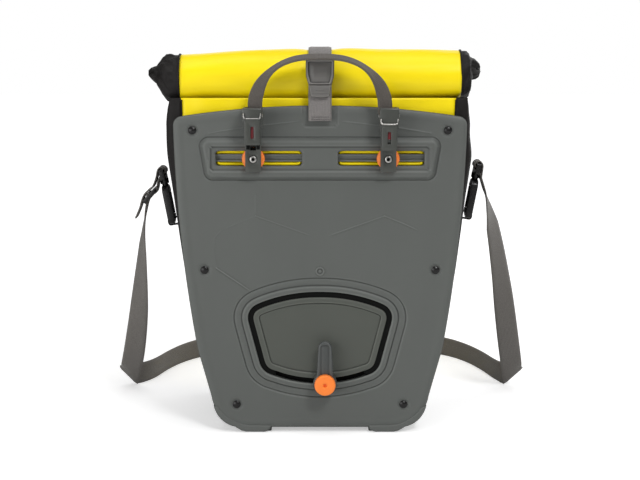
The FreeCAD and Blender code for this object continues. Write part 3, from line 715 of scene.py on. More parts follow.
def bag_section(level):
    """The bag's outline at one height as (x, y), the near face first, then the +X side, and so on."""
    half = piecewise(HALF_WIDTH, level)
    far = piecewise(FAR_FACE, level)
    depth = far - NEAR_Y
    near_r = min(11.0, depth * 0.22)
    far_r = min(30.0, depth * 0.36)
    fold = 26.0 * smoothstep(292, 356, level)
    edge = half - GUSSET_WRAP
    side = []
    turns = [((half - near_r, NEAR_Y + near_r), near_r, -90, 0), ((half - far_r, far - far_r), far_r, 0, 90)]
    raw = [(edge, NEAR_Y)]
    for (cx, cy), r, a0, a1 in turns:
        for i in range(9):
            a = math.radians(mix(a0, a1, i / 8))
            raw.append((cx + r * math.cos(a), cy + r * math.sin(a)))
    raw.append((min(edge, raw[-1][0] - 0.5), far))
    flat = [Vector((x, y, 0)) for x, y in raw]
    total = line_length(flat)
    for point in even_points(flat, total / (AROUND - 1))[:AROUND]:
        v = (point.y - NEAR_Y) / depth
        inward = fold * max(1 - abs(2 * v - 1), 0.0) ** 0.8
        side.append((point.x - inward, point.y))
    near = [(mix(-edge, edge, i / (ACROSS - 1)), NEAR_Y) for i in range(ACROSS)]
    back_edge = side[-1][0]
    back = [(mix(back_edge, -back_edge, i / (ACROSS - 1)), far) for i in range(ACROSS)]
    return near, side, back, [(-x, y) for x, y in reversed(side)]


def cloth_noise(x, y, z, scale, seed):
    return noise.noise(Vector((x / scale + seed, y / scale - seed, z / scale)))


def bag_offset(x, y, z):
    """How far the cloth stands out from the loft, in millimetres along its normal."""
    behind_strap = math.exp(-((x / 42.0) ** 4)) * smoothstep(300, 275, z)
    calm = behind_strap * smoothstep(100, 122, z) * smoothstep(120, 150, y)
    shoulder = smoothstep(250, 335, z)
    low = smoothstep(100, 30, z)
    near = 1.0 - smoothstep(10, 30, y)
    billow = 4.0 * cloth_noise(x, y, z * 0.6, 110, 3.1) * (1 - low)
    ripples = 2.2 * cloth_noise(x * 1.6, y * 1.6, z * 0.45, 34, 8.4) * (0.35 + shoulder)
    creases = 1 - abs(cloth_noise(x * 1.2 + 0.5 * z, y, z * 0.5 - 0.4 * x, 46, 5.7)) * 5
    creases = 1.6 * max(creases, 0.0) * (0.3 + 0.9 * shoulder)
    loose = (billow + ripples + creases) * (1 - calm)
    hem = 1.1 * math.sin(x / 9.5 + 1.3 * math.sin(x / 31.0)) + 1.3 * cloth_noise(x, 0, z * 0.3, 21, 1.3)
    return mix(loose, hem * smoothstep(336, 352, z) - 0.2, near)


def bag_grid():
    """Every ring of the loft, moved by the cloth's own shape, as lists of frame points."""
    rings = []
    for level in LEVELS:
        parts = bag_section(level)
        ring = [p for part in parts for p in part]
        rings.append([Vector((x, y, level)) for x, y in ring])
    moved = []
    count = len(rings[0])
    for r, ring in enumerate(rings):
        below, above = rings[max(r - 1, 0)], rings[min(r + 1, len(rings) - 1)]
        row = []
        for c, point in enumerate(ring):
            along = ring[(c + 1) % count] - ring[c - 1]
            normal = along.cross(above[c] - below[c])
            normal = normal.normalized() if normal.length > 1e-6 else Vector((0, 0, 0))
            place = point + normal * bag_offset(*point)
            place.z = max(place.z, LOWEST)
            place.x -= 4.6 * smoothstep(290, 322, place.z) * max(place.x / 165, 0.0) ** 3
            row.append(row_point(*place))
        moved.append(row)
    return moved


def bag_patch(name, rings, first, last, material):
    """Columns first to last of the loft as a fabric panel."""
    columns = last - first + 1
    points, uv = [], []
    count = len(rings[0])
    for row in rings:
        for c in range(first, last + 1):
            points.append(row[c % count])
            uv.append((c * 0.004, row[c % count].z))
    obj = mesh_object(name, points, grid_faces(len(rings), columns), material, uv)
    thicken_cloth(obj, 0.0011)
    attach(obj, "bag")
    return obj


def applied(obj):
    """Turn the object's modifiers into its mesh."""
    bpy.context.view_layer.update()
    graph = bpy.context.evaluated_depsgraph_get()
    mesh = bpy.data.meshes.new_from_object(obj.evaluated_get(graph))
    obj.modifiers.clear()
    old = obj.data
    obj.data = mesh
    bpy.data.meshes.remove(old)
    return obj


def thicken_cloth(obj, thickness):
    solid = obj.modifiers.new("thickness", "SOLIDIFY")
    solid.thickness = thickness
    solid.offset = -1
    return applied(obj)


def tube_along(name, points, radius, material, sides=8, flat=1.0, up=Vector((0, 0, 1))):
    """A bead along a line; flat under 1 makes it lower than it is wide."""
    verts, uv = [], []
    for point, tangent, travelled in zip(points, tangents(points), distances(points)):
        side = across_to(tangent, up)
        normal = side.cross(tangent).normalized()
        for k, a in enumerate(round_angles(sides)):
            verts.append(point + side * radius * math.cos(a) + normal * radius * flat * math.sin(a))
            uv.append((k / sides * radius * 6.28, travelled))
    return mesh_object(name, verts, capped_faces(len(points), sides), material, uv)


def make_bag(materials):
    rings = bag_grid()
    near_end = ACROSS - 1
    right_end = ACROSS + AROUND - 1
    far_end = 2 * ACROSS + AROUND - 1
    left_end = 2 * ACROSS + 2 * AROUND - 1
    shell, gusset = materials["shell_fabric"], materials["gusset_fabric"]
    near = bag_patch("near_panel_cloth", rings, 0, near_end, shell)
    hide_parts("rear_panel")
    far = bag_patch("far_panel_cloth", rings, right_end, far_end, shell)
    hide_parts("front_panel")
    right = bag_patch("gusset_cloth_right", rings, near_end, right_end, gusset)
    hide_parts("side_gusset_right")
    left = bag_patch("gusset_cloth_left", rings, far_end, left_end, gusset)
    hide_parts("side_gusset_left")
    for name, column in (("near_right", near_end), ("far_right", right_end + 1),
                         ("far_left", far_end), ("near_left", 0)):
        line = [row[column] for row in rings[3:-1]]
        bead = tube_along("seam_" + name, line, 0.0017, gusset, 8, 0.55, Vector((0, 1, 0)))
        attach(bead, "bag")


# ---------------------------------------------------------------- roll and its ends

ROLL_CENTRE_Y, ROLL_CENTRE_Z = 34.5, 381.3
ROLL_RADIUS_Y, ROLL_RADIUS_Z = 27.2, 27.9
ROLL_END = 147.0


def roll_radius(angle, x):
    """The roll's size at one angle and place, as a share of its ellipse. 0 is towards the far face."""
    lap = math.radians(-68)
    since = (angle - lap) % (2 * math.pi) / (2 * math.pi)
    spiral = 1.0 - 0.050 * since
    lap_edge = 0.030 * smoothstep(0.965, 1.0, since)
    pinch = 0.030 * math.exp(-(abs(x) / 17.0) ** 4)
    beside = 0.018 * math.exp(-((abs(x) - 30.0) / 13.0) ** 2) * math.sin(angle + 0.6)
    soft = 0.030 * cloth_noise(x, 60 * math.cos(angle), 60 * math.sin(angle), 62, 2.2)
    fine = 0.010 * cloth_noise(x * 0.5, 60 * math.cos(angle), 60 * math.sin(angle), 17, 7.9)
    phase = 0.7 if x > 0 else -0.7
    oval = 0.03 * smoothstep(118, ROLL_END, abs(x)) * math.sin(2 * angle + phase)
    ends = -0.035 * smoothstep(60, ROLL_END, -x) + oval
    return spiral + lap_edge - pinch + beside + soft + fine + ends


def make_roll(materials):
    rows, sides = 111, 120
    points, uv = [], []
    for i in range(rows):
        x = mix(-ROLL_END, ROLL_END, i / (rows - 1))
        u = x / ROLL_END
        rise = -3.3 + 0.55 * u - 0.75 * u * u + 1.8 * u * abs(u) - 0.8 * cloth_noise(x, 0, 0, 70, 4.4)
        for a in round_angles(sides):
            size = roll_radius(a, x)
            y = ROLL_CENTRE_Y + ROLL_RADIUS_Y * size * math.cos(a)
            z = ROLL_CENTRE_Z + rise + ROLL_RADIUS_Z * (1.05 - 0.095 * u * u) * size * math.sin(a)
            points.append(row_point(x, y, z))
            uv.append((x * MM, a * 0.025))
    roll = mesh_object("roll_cloth", points, capped_faces(rows, sides), materials["shell_fabric"], uv)
    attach(roll, "bag")
    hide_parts("roll_top", "roll_stiffener")


# Profile of each end of the roll: (distance out, top, bottom, half depth), millimetres.
ROLL_END_SHAPE = {
    "left": [(-4, 392.0, 364.0, 19), (-0.6, 398.5, 354.0, 24), (0.4, 400.6, 350.6, 26),
             (3, 400.2, 349.6, 25.5), (10, 399.6, 349.6, 25), (15, 398.6, 352.0, 24), (19, 396.0, 358.6, 23),
             (23, 391.5, 365.5, 20), (25.5, 388.2, 370.5, 14), (28, 387.4, 372.5, 11),
             (31, 386.6, 375.5, 9), (33.5, 384.6, 378.5, 6)],
    "right": [(-4, 395.0, 366.0, 19), (-0.6, 401.0, 357.5, 24), (0.4, 404.8, 355.4, 26),
              (4, 404.6, 355.6, 25.5), (8, 403.6, 356.6, 25), (10.4, 400.6, 358.4, 24),
              (11.4, 397.8, 371.0, 20), (12.6, 397.0, 374.6, 16), (17, 395.4, 375.6, 13.5),
              (20.5, 391.5, 378.2, 10), (21.8, 387.5, 382.5, 6)],
}


def pleat_depth(angle, out, progress, sign):
    """How far a roll end's folds stand out or in, as a share of its radius."""
    phase = 2.2 * progress + max(sign, 0)
    pleat = 0.10 * smoothstep(0.05, 0.5, progress) * math.sin(5 * angle + phase)
    pleat += 0.07 * cloth_noise(out * 1.2, 40 * math.cos(angle), 40 * math.sin(angle), 13, 6.0 + sign)
    spun = angle + 0.03 * out
    fold = abs(cloth_noise(out * 0.7, 55 * math.cos(spun), 55 * math.sin(spun), 15, 2.5 - sign))
    creased = smoothstep(0.0, 0.25, progress) * (1 - 0.6 * progress)
    return pleat + 0.10 * (max(0.0, 1 - 4.5 * fold) - 0.25) * creased


def make_roll_end(side, materials):
    """The folded gusset that sticks out of the roll's end: pleats that run out to a soft tip."""
    sign = SIGNS[side]
    shape = ROLL_END_SHAPE[side]
    table = [[(row[0], row[k]) for row in shape] for k in (1, 2, 3)]
    reach = shape[-1][0]
    rows, sides = 44, 96
    points, uv = [], []
    for i in range(rows):
        out = mix(shape[0][0], reach, (i / (rows - 1)) ** 0.85)
        top, bottom, depth = (piecewise(t, out) for t in table)
        progress = max(out, 0) / reach
        for a in round_angles(sides):
            size = 1.0 + pleat_depth(a, out, progress, sign) * (0.3 + progress)
            tuck = 5.0 * smoothstep(0.35, 0.8, progress) * max(0.0, math.cos(2 * a + 0.5))
            y = ROLL_CENTRE_Y + depth * size * math.cos(a)
            z = (top + bottom) / 2 + (top - bottom) / 2 * size * math.sin(a)
            points.append(row_point(sign * (ROLL_END + out - tuck), y, z))
            uv.append((out * MM, a * 0.02))
    faces = capped_faces(rows, sides)
    end = mesh_object("roll_end_cloth_" + side, points, faces, materials["gusset_fabric"], uv)
    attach(end, "bag")
    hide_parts("roll_end_" + side)


def make_roll_welt(side, materials):
    """The piping around the roll's rim, where its end is sewn on."""
    x = SIGNS[side] * (ROLL_END + 0.3)
    centre_z = {"left": 375.9, "right": 380.2}[side]
    radius_y, radius_z = 25.9, 24.8
    rim = [row_point(x, ROLL_CENTRE_Y + radius_y * math.cos(a), centre_z + radius_z * math.sin(a))
           for a in round_angles(72) + [2 * math.pi]]
    welt = tube_along("roll_welt_" + side, rim, 0.0012, materials["gusset_fabric"], 8, 1.0,
                      Vector((1, 0, 0)))
    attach(welt, "bag")


# ---------------------------------------------------------------- closure strap and handle

def make_closure(materials):
    """The strap from the patch on the far panel, over the roll and through the buckle."""
    y, z = ROLL_CENTRE_Y, ROLL_CENTRE_Z
    route = [(186.6, 249), (186.6, 286), (176.5, 312), (154.0, 334.5), (112.0, 350.5), (76.0, 360.5),
             (62.5, 377.0), (y + 22.8, z + 19.9), (y, z + 28.6), (y - 20.6, z + 21.8), (y - 30.0, z + 11.0),
             (2.0, 372.0), (-3.4, 352.0), (-4.8, 333.4)]
    strap = plain_band("closure_webbing", [row_point(0, *p) for p in route], Vector((1, 0, 0)), 0.024,
                       0.0018, materials["closure_webbing"], 0.0025)
    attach(strap, "bag")
    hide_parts("closure_strap")


HANDLE_LINE = [
    (66.5, 341.5), (66.5, 346.0), (66.4, 353.0), (65.4, 360.0), (61.0, 372.0), (52.5, 383.5), (40.5, 392.4),
    (26.5, 397.6), (14.0, 399.3), (6.0, 399.7), (0.0, 399.7),
]


def make_handle(side, materials):
    """Half of the handle: flat on over its hook, turned on its edge at the top of the arch."""
    sign = SIGNS[side]
    route = [row_point(sign * x, -19.0, z) for x, z in HANDLE_LINE]
    points = even_points(spline_points(route), 0.0015)
    total = line_length(points)
    stations = []
    for point, tangent, travelled in zip(points, tangents(points), distances(points)):
        turn = smoothstep(0.05, 0.62, travelled / total)
        face_on = across_to(tangent, Vector((-sign, 0, 0)))
        edge_on = across_to(tangent, Vector((0, -0.95, -0.28)))
        wish = face_on.lerp(edge_on, 0.12 + 0.80 * turn)
        aside = across_to(tangent, wish)
        stations.append((point, aside, aside.cross(tangent).normalized()))
    half = band("handle_webbing_" + side, stations, 0.0150, 0.0020, materials["handle_webbing"])
    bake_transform(half)
    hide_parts("handle_tab_" + side, "handle_half_" + side)


# ---------------------------------------------------------------- carrier plate

WINDOW_INNER, WINDOW_OUTER = 18.8, 108.5


def arc_points(a, b, c, step):
    """Points from a to c along the circle through a, b and c, without the last one."""
    (ax, az), (bx, bz), (cx, cz) = a, b, c
    d = 2 * (ax * (bz - cz) + bx * (cz - az) + cx * (az - bz))
    ux = ((ax**2 + az**2) * (bz - cz) + (bx**2 + bz**2) * (cz - az) + (cx**2 + cz**2) * (az - bz)) / d
    uz = ((ax**2 + az**2) * (cx - bx) + (bx**2 + bz**2) * (ax - cx) + (cx**2 + cz**2) * (bx - ax)) / d
    r = math.hypot(ax - ux, az - uz)
    start, middle, end = (math.atan2(z - uz, x - ux) for x, z in (a, b, c))
    full = 2 * math.pi
    sweep, half = (end - start) % full, (middle - start) % full
    if half > sweep:
        sweep -= full
    count = max(2, int(abs(sweep) * r / step))
    return [(ux + r * math.cos(start + sweep * i / count), uz + r * math.sin(start + sweep * i / count))
            for i in range(count)]


def line_points(a, b, step):
    count = max(1, int(math.hypot(b[0] - a[0], b[1] - a[1]) / step))
    return [(mix(a[0], b[0], i / count), mix(a[1], b[1], i / count)) for i in range(count)]


def outline_points(start, *moves):
    """Points from the start along moves, without the last one. A move is (step, end), or (step, middle, end)
    for an arc."""
    points, here = [], start
    for step, *stops in moves:
        points += (arc_points if len(stops) == 2 else line_points)(here, *stops, step)
        here = stops[-1]
    return points


def mirrored_loop(start, *moves):
    """A closed loop from the moves of its right half, from the top's middle to the bottom's."""
    half = outline_points(start, *moves) + [moves[-1][-1]]
    loop = half + [(-x, z) for x, z in reversed(half[1:])]
    return np.array([p for i, p in enumerate(loop) if math.dist(p, loop[i - 1]) > 1e-4])


def plate_loop():
    return mirrored_loop(
        (0, 349.0), (1.2, (72.0, 346.2), (143.8, 338.0)), (0.8, (150.0, 335.2), (152.8, 329.0)),
        (1.2, (146.9, 219.5), (130.0, 91.0)), (1.2, (116.0, 39.5)), (1.0, (102.2, 14.6), (80.0, 5.4)),
        (1.2, (0, 5.3)))


def shield_loop(grow):
    """The island's outline, moved outwards: a wide top, leaning sides and a curved foot."""
    sharp = mirrored_loop(
        (0, 147.4), (1.0, (30.0, 145.0), (59.0, 137.0)), (1.0, (64.5, 134.6)),
        (1.0, (69.9, 130.0), (70.8, 122.8)), (1.0, (58.8, 76.5)), (1.0, (55.4, 71.0), (48.0, 67.6)),
        (1.0, (24.0, 61.0), (0, 59.0)))
    return offset_loop(smoothed_loop(sharp, 12), grow)


def boss_loop():
    """The raised field around the rail, a little narrower at its foot."""
    top, bottom, wide, narrow, r = 315.6, 272.0, 124.7, 120.3, 9.0
    return mirrored_loop(
        (0, top), (1.5, (wide - r, top)), (1.0, (wide - 0.3 * r, top - 0.3 * r), (wide, top - r)),
        (1.5, (narrow, bottom + r)), (1.0, (narrow - 0.3 * r, bottom + 0.3 * r), (narrow - r, bottom)),
        (1.5, (0, bottom)))


def round_box_loop(x0, x1, z0, z1, r, step=0.9):
    """A box with round corners, clockwise from its top right."""
    loop = []
    corners = [(x1 - r, z1 - r, 90), (x1 - r, z0 + r, 0), (x0 + r, z0 + r, -90), (x0 + r, z1 - r, -180)]
    for cx, cz, start in corners:
        for i in range(7):
            a = math.radians(start - 15 * i)
            loop.append((cx + r * math.cos(a), cz + r * math.sin(a)))
    dense = []
    for i, p in enumerate(loop):
        dense += line_points(p, loop[(i + 1) % len(loop)], step)
    return np.array(dense)


def window_loop(sign):
    """The window of one side, where the rail and the hook's wheel show."""
    return round_box_loop(*sorted((sign * WINDOW_INNER, sign * WINDOW_OUTER)), 286.6, 302.2, 3.5)


def slot_loop(spread=21.0, width=5.4):
    """The island's curved slot: its half angle in degrees, and its width."""
    centre_z, radius = 188.5, 132.0
    angles = np.radians(np.linspace(-spread, spread, 60))
    loop = []
    for r, way in ((radius + width / 2, angles), (radius - width / 2, angles[::-1])):
        loop += [(r * math.sin(a), centre_z - r * math.cos(a)) for a in way]
    return np.array(loop)


def nearest_index(points, targets):
    """For each point, the index of the nearest target and the distance to it."""
    tree = KDTree(len(targets))
    for i, (x, z) in enumerate(targets):
        tree.insert((x, z, 0.0), i)
    tree.balance()
    found = [tree.find((x, z, 0.0)) for x, z in points]
    return np.array([f[1] for f in found]), np.array([f[2] for f in found])


def loop_turn(loop):
    """1 for a loop that runs counterclockwise in (x, z), -1 for a clockwise one."""
    after = np.roll(loop, -1, axis=0)
    return np.sign((loop[:, 0] * after[:, 1] - after[:, 0] * loop[:, 1]).sum())


def signed_distance(points, loop):
    """Distance to a closed loop of close points, negative inside it."""
    before, after = np.roll(loop, 1, axis=0), np.roll(loop, -1, axis=0)
    nearest, _ = nearest_index(points, loop)
    gaps, turns = [], []
    for a, b in ((before[nearest], loop[nearest]), (loop[nearest], after[nearest])):
        ab = b - a
        t = np.clip(((points - a) * ab).sum(1) / np.maximum((ab ** 2).sum(1), 1e-12), 0, 1)
        off = points - (a + ab * t[:, None])
        gaps.append(np.linalg.norm(off, axis=1))
        way = ab / np.linalg.norm(ab, axis=1)[:, None]
        from_corner = points - loop[nearest]
        turns.append(way[:, 0] * from_corner[:, 1] - way[:, 1] * from_corner[:, 0])
    tie = np.abs(gaps[0] - gaps[1]) < 1e-9
    side = np.where(tie, turns[0] + turns[1], np.where(gaps[0] < gaps[1], turns[0], turns[1]))
    best = np.minimum(gaps[0], gaps[1])
    return np.where(side * loop_turn(loop) > 0, -best, best)


def smoothed_loop(loop, rounds):
    for _ in range(rounds):
        loop = 0.5 * loop + 0.25 * (np.roll(loop, 1, axis=0) + np.roll(loop, -1, axis=0))
    return loop


def offset_loop(loop, grow):
    """The loop moved outwards everywhere by the same distance."""
    ahead = np.roll(loop, -1, axis=0) - np.roll(loop, 1, axis=0)
    out = np.stack([ahead[:, 1], -ahead[:, 0]], 1)
    out *= loop_turn(loop) / np.linalg.norm(out, axis=1)[:, None]
    return loop + out * grow


def line_distance(points, line):
    """Distance to an open line of (x, z), and a strength that fades over its last few millimetres."""
    line = np.array(line, dtype=float)
    best = np.full(len(points), 1e9)
    for a, b in zip(line, line[1:]):
        ab = b - a
        t = np.clip(((points - a) @ ab) / (ab @ ab), 0, 1)
        best = np.minimum(best, np.linalg.norm(points - (a + t[:, None] * ab), axis=1))
    last = np.linalg.norm(points - line[-1], axis=1)
    return best, ease(-2.0, 9.0, last)


def ease(a, b, value):
    """Smoothstep for arrays."""
    t = np.clip((value - a) / (b - a), 0, 1)
    return t * t * (3 - 2 * t)


def hump(value, place, width):
    """A soft ridge's height: 1 where the value is at the place, and fading over the width."""
    return np.exp(-((value - place) / width) ** 2)


def rounded_edge(inside, radius):
    """How far a rounded edge has fallen back, in radii, at that distance inside it."""
    return 1 - np.sqrt(np.clip(1 - (1 - np.clip(inside / radius, 0, 1)) ** 2, 0, 1))


PLATE_RIVETS = [(132.7, 323.5), (121.5, 176.5), (89.0, 31.0)]
GATE_Z = 175.0              # the mark that the moulding left in the plate's middle
# Moulded lines of the plate: how strong each is on the left and the right, and its (x, z) on the left.
PLATE_LINES = [
    (0.35, 0.0, [(-67.4, 256.0), (-67.5, 233.9)]),
    (0.75, 0.9, [(-67.5, 233.9), (-20.4, 217.0), (-8.0, 212.5)]),
    (0.3, 1.0, [(-67.5, 233.9), (-88.5, 225.4), (-104.2, 218.1)]),
    (0.3, 0.0, [(-104.2, 218.1), (-111.1, 210.6), (-111.3, 193.6), (-109.2, 178.7)]),
    (1.2, 0.15, [(-109.2, 178.7), (-72.3, 153.4)]),
    (0.8, 0.9, [(-114.6, 320.7), (-77.2, 326.9), (-20.2, 333.1)]),
]


def plate_lines():
    """Each moulded line on each side where it shows, after its strength there."""
    for left, right, line in PLATE_LINES:
        for sign, strength in ((1, left), (-1, right)):
            if strength:
                yield strength, [(sign * x, z) for x, z in line]


def plate_height(points):
    """The plate's outer face: y in millimetres at each (x, z), negative towards the viewer."""
    y = np.zeros(len(points))
    boss = -signed_distance(points, boss_loop())
    y -= 4.1 * ease(-1.0, 4.6, boss)
    y += 0.6 * hump(boss, -0.8, 0.75)
    channel = -signed_distance(points, round_box_loop(-114.5, 114.5, 281.0, 307.4, 4.0))
    y += 1.5 * ease(-0.6, 1.4, channel) + 0.35 * hump(channel, 0.9, 0.6)
    for sign in (-1, 1):
        rim = signed_distance(points, window_loop(sign))
        y += 0.7 * (1 - ease(0.0, 1.1, rim)) ** 2
    grow = signed_distance(points, shield_loop(0.0))
    y += 0.9 * (ease(21.9, 19.4, grow) - ease(12.9, 11.2, grow))
    y -= 0.7 * ease(12.9, 11.2, grow)
    y += 0.75 * hump(grow, 20.0, 0.6) + 1.1 * hump(grow, 12.0, 0.95)
    y += 0.5 * ease(7.2, 5.5, grow) ** 2
    y += 2.6 * ease(5.6, 5.3, grow)
    edge = -signed_distance(points, plate_loop())
    y += 2.4 * rounded_edge(edge, 5.2)
    y -= 0.35 * hump(edge, 6.5, 2.6)
    for strength, line in plate_lines():
        gap, fade = line_distance(points, line)
        y -= strength * fade * (0.5 * hump(gap, 0.0, 0.62) + 0.25 * hump(gap, 0.0, 5.0))
    pocket = -signed_distance(points, round_box_loop(-18.6, 18.6, 327.0, 360.0, 5.0))
    y += 0.9 * ease(-0.8, 1.2, pocket)
    for x, z in PLATE_RIVETS:
        for sign in (-1, 1):
            gap = np.hypot(points[:, 0] - sign * x, points[:, 1] - z)
            y += 0.7 * ease(7.2, 5.2, gap)
    gate = np.hypot(points[:, 0], points[:, 1] - GATE_Z)
    y -= 0.9 * hump(gate, 0.0, 1.4) + 0.9 * hump(gate, 3.9, 0.8)
    y += 0.5 * hump(gate, 2.2, 0.8)
    y += 0.22 * np.sin(points[:, 0] / 31.0 + 0.4) * np.sin(points[:, 1] / 43.0)
    return y


def beside(line, offset):
    """An open line of (x, z, ...) moved sideways, with a point every millimetre or so."""
    dense = []
    for a, b in zip(line, line[1:]):
        dense += line_points(a[:2], b[:2], 1.3)
    dense = np.array(dense + [line[-1][:2]])
    way = np.gradient(dense, axis=0)
    way /= np.linalg.norm(way, axis=1)[:, None]
    return dense + np.stack([-way[:, 1], way[:, 0]], 1) * offset


def groove_depth(height, points, reach=1.1):
    """How much deeper each point lies than its surroundings, in millimetres; negative on a ridge."""
    shifts = ((reach, 0), (-reach, 0), (0, reach), (0, -reach))
    return height(points) - sum(height(points + np.array(shift)) for shift in shifts) / 4


def filled(points, edges, outline, holes):
    """Triangles on the points and along the edges, inside the outline and outside the holes."""
    cut = delaunay_2d_cdt([Vector(p) for p in points], edges, [], 0, 1e-5)
    verts = np.array([tuple(v) for v in cut[0]])
    triangles = np.array([f for f in cut[2]])
    middles = verts[triangles].mean(1)
    inside = signed_distance(middles, outline) < 0
    for loop in holes:
        inside &= signed_distance(middles, loop) > 0
    return verts, triangles[inside]


def moulded_skin(name, outline, holes, detail, height, back_y, material, step, lines=()):
    """A moulded sheet: a front with that height at every point, holes, walls and a flat back. Its mesh has
    points along the detail loops and the open lines, and a grid with that step between them."""
    loops = [outline] + holes
    low, high = outline.min(0), outline.max(0)
    xs, zs = np.arange(low[0], high[0], step), np.arange(low[1], high[1], step)
    grid = np.stack(np.meshgrid(xs, zs), -1).reshape(-1, 2)
    grid[::2, 0] += 0.31 * step
    keep = signed_distance(grid, outline) < -0.5 * step
    keep &= nearest_index(grid, np.concatenate(loops + detail + list(lines)))[1] > 0.45 * step
    points, edges = [], []
    for group, closed in ((loops + detail, True), (lines, False)):
        for line in group:
            base, count = len(points), len(line)
            points += [tuple(p) for p in line]
            edges += [(base + i, base + (i + 1) % count) for i in range(count if closed else count - 1)]
    verts, triangles = filled(points + list(grid[keep]), edges, outline, holes)
    solid = [row_point(x, y, z) for (x, z), y in zip(verts, height(verts))]
    faces = []
    for a, b, c in triangles:
        (ax, az), (bx, bz), (cx, cz) = verts[a], verts[b], verts[c]
        turn = (bx - ax) * (cz - az) - (bz - az) * (cx - ax)
        faces.append((a, b, c) if turn > 0 else (a, c, b))
    rim_count = sum(len(loop) for loop in loops)
    back_verts, back_triangles = filled(points[:rim_count], edges[:rim_count], outline, holes)
    base = len(solid)
    solid += [row_point(x, back_y, z) for x, z in back_verts]
    faces += [(base + a, base + c, base + b) for a, b, c in back_triangles]
    for loop in loops:
        base, count = len(solid), len(loop)
        solid += [row_point(x, y, z) for (x, z), y in zip(loop, height(loop))]
        solid += [row_point(x, back_y, z) for x, z in loop]
        for i in range(count):
            j = (i + 1) % count
            faces.append((base + i, base + j, base + count + j, base + count + i))
    obj = mesh_object(name, solid, faces, material)
    # The groove depth at each front point, which the relief materials paint as shade in the grooves and as a
    # highlight on the ridges.
    cavity = np.zeros(len(obj.data.vertices))
    cavity[:len(verts)] = groove_depth(height, verts)
    obj.data.attributes.new("cavity", "FLOAT", "POINT").data.foreach_set("value", cavity)
    return obj


def level(y):
    """The height function of a flat face."""
    return lambda points: np.full(len(points), y)


def make_corner_lips(materials):
    """The tray's rim where it wraps the plate's lower corners, and runs out into the two near feet."""
    outline = outline_points(
        (113.6, 29.0), (1.2, (106.9, 15.5), (91.0, 6.0)), (0.8, (86.4, 3.0), (79.0, 0.5)),
        (1.2, (62.0, 0.5)), (0.8, (55.8, 1.8), (52.4, 5.6)), (1.2, (51.8, 7.9)), (1.2, (74.0, 8.3)),
        (1.2, (92.5, 13.4), (108.0, 28.0)), (1.2, (113.6, 29.0)))
    for side, sign in SIGNS.items():
        loop = np.array(outline) * (sign, 1)

        def lip_height(points):
            return -0.8 + 1.8 * rounded_edge(-signed_distance(points, loop), 1.8)

        lip = moulded_skin("corner_lip_" + side, loop, [], [], lip_height, 6.2, materials["tray"], 0.7)
        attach(lip, "bag")


def make_window_piping(materials):
    """The fabric that bulges a little above and below the rail, inside each of the plate's windows."""
    ends = [(1.7, 1.5), (2.6, 0.4), (5.5, 0.0), (12.0, 0.0)]
    for name, sign in SIGNS.items():
        x0, x1 = sorted((sign * WINDOW_INNER, sign * WINDOW_OUTER))
        for edge, z, turn in (("top", 301.0, -1), ("foot", 288.1, 1)):
            route = [(x0 + dx, z + rise * turn) for dx, rise in ends] + [((x0 + x1) / 2, z)]
            route += [(x1 - dx, z + rise * turn) for dx, rise in reversed(ends)]
            line = even_points(spline_points([row_point(px, 4.1, pz) for px, pz in route]), 0.0015)
            bead = tube_along("window_fabric_" + name + "_" + edge, line, 0.0016, materials["shell_fabric"],
                              10, 0.9, Vector((0, 1, 0)))
            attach(bead, "bag")


def make_plate(materials):
    detail = [shield_loop(g) for g in (5.25, 5.65, 6.3, 7.2, 8.6, 10.0, 11.0, 11.5, 12.0, 12.6, 13.3,
                                       18.7, 19.4, 20.0, 20.6, 21.3, 22.2, 23.3)]
    detail += [offset_loop(plate_loop(), -g) for g in (0.9, 2.0, 3.4, 5.2, 7.2)]
    detail += [offset_loop(boss_loop(), g) for g in (2.0, 1.3, 0.7, 0.0, -1.0, -2.2, -3.4, -4.6)]
    detail += [round_box_loop(-g, g, GATE_Z - g, GATE_Z + g, g, 0.6) for g in (1.2, 2.1, 3.0, 4.0, 5.0)]
    across = (-1.0, -0.45, 0.0, 0.45, 1.0)
    creases = [beside(line, offset) for _, line in plate_lines() for offset in across]
    plate = moulded_skin("plate_skin", plate_loop(), [window_loop(-1), window_loop(1), slot_loop()], detail,
                         plate_height, 3.5, materials["plate"], 1.7, creases)
    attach(plate, "bag")
    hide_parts("back_plate")


def make_island(materials):
    """The dished island of the lower hook, and the black sheets of painted shade behind its groove and its
    slot.
    """
    def island_height(points):
        grow = signed_distance(points, shield_loop(0.0))
        y = np.full(len(points), -0.55)
        y += rounded_edge(-0.3 - grow, 1.3)
        y += 1.2 * ease(-6.0, -6.9, grow) + 0.7 * hump(grow, -6.9, 0.5)
        y -= 0.5 * ease(-8.0, -40.0, grow)
        return y

    detail = [shield_loop(g) for g in (-0.9, -1.5, -2.2, -3.2, -4.6, -5.5, -6.1, -6.6, -7.1, -7.7, -8.5)]
    island = moulded_skin("island_skin", shield_loop(-0.3), [slot_loop()], detail, island_height, 1.15,
                          materials["island"], 2.2)
    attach(island, "bag")
    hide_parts("track_island")

    # Painted shade: near-black sheets behind the groove and the slot.
    groove_shade = moulded_skin("groove_shade_sheet", shield_loop(5.3), [shield_loop(-0.5), slot_loop()], [],
                         level(1.9), 2.4, materials["painted_shade_black"], 3.0)
    slot_shade = moulded_skin("slot_shade_sheet", slot_loop(27.0, 17.0), [], [],
                           level(7.75), 8.2, materials["painted_shade_black"], 3.0)
    for piece in (groove_shade, slot_shade):
        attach(piece, "bag")


# ---------------------------------------------------------------- hard parts with rounded edges

SNAP_BODY_TOP = 43.5        # a snap hook's neck starts this far above its foot
TRAY_SHARE = 0.965          # the tray's width, as a share of its CAD node's


def shaded_by_angle(obj):
    """Smooth shading, with the sharper edges kept hard."""
    mesh = bmesh.new()
    mesh.from_mesh(obj.data)
    limit = math.radians(40)
    for face in mesh.faces:
        face.smooth = True
    for edge in mesh.edges:
        edge.smooth = len(edge.link_faces) == 2 and edge.calc_face_angle(0.0) < limit
    mesh.to_mesh(obj.data)
    mesh.free()


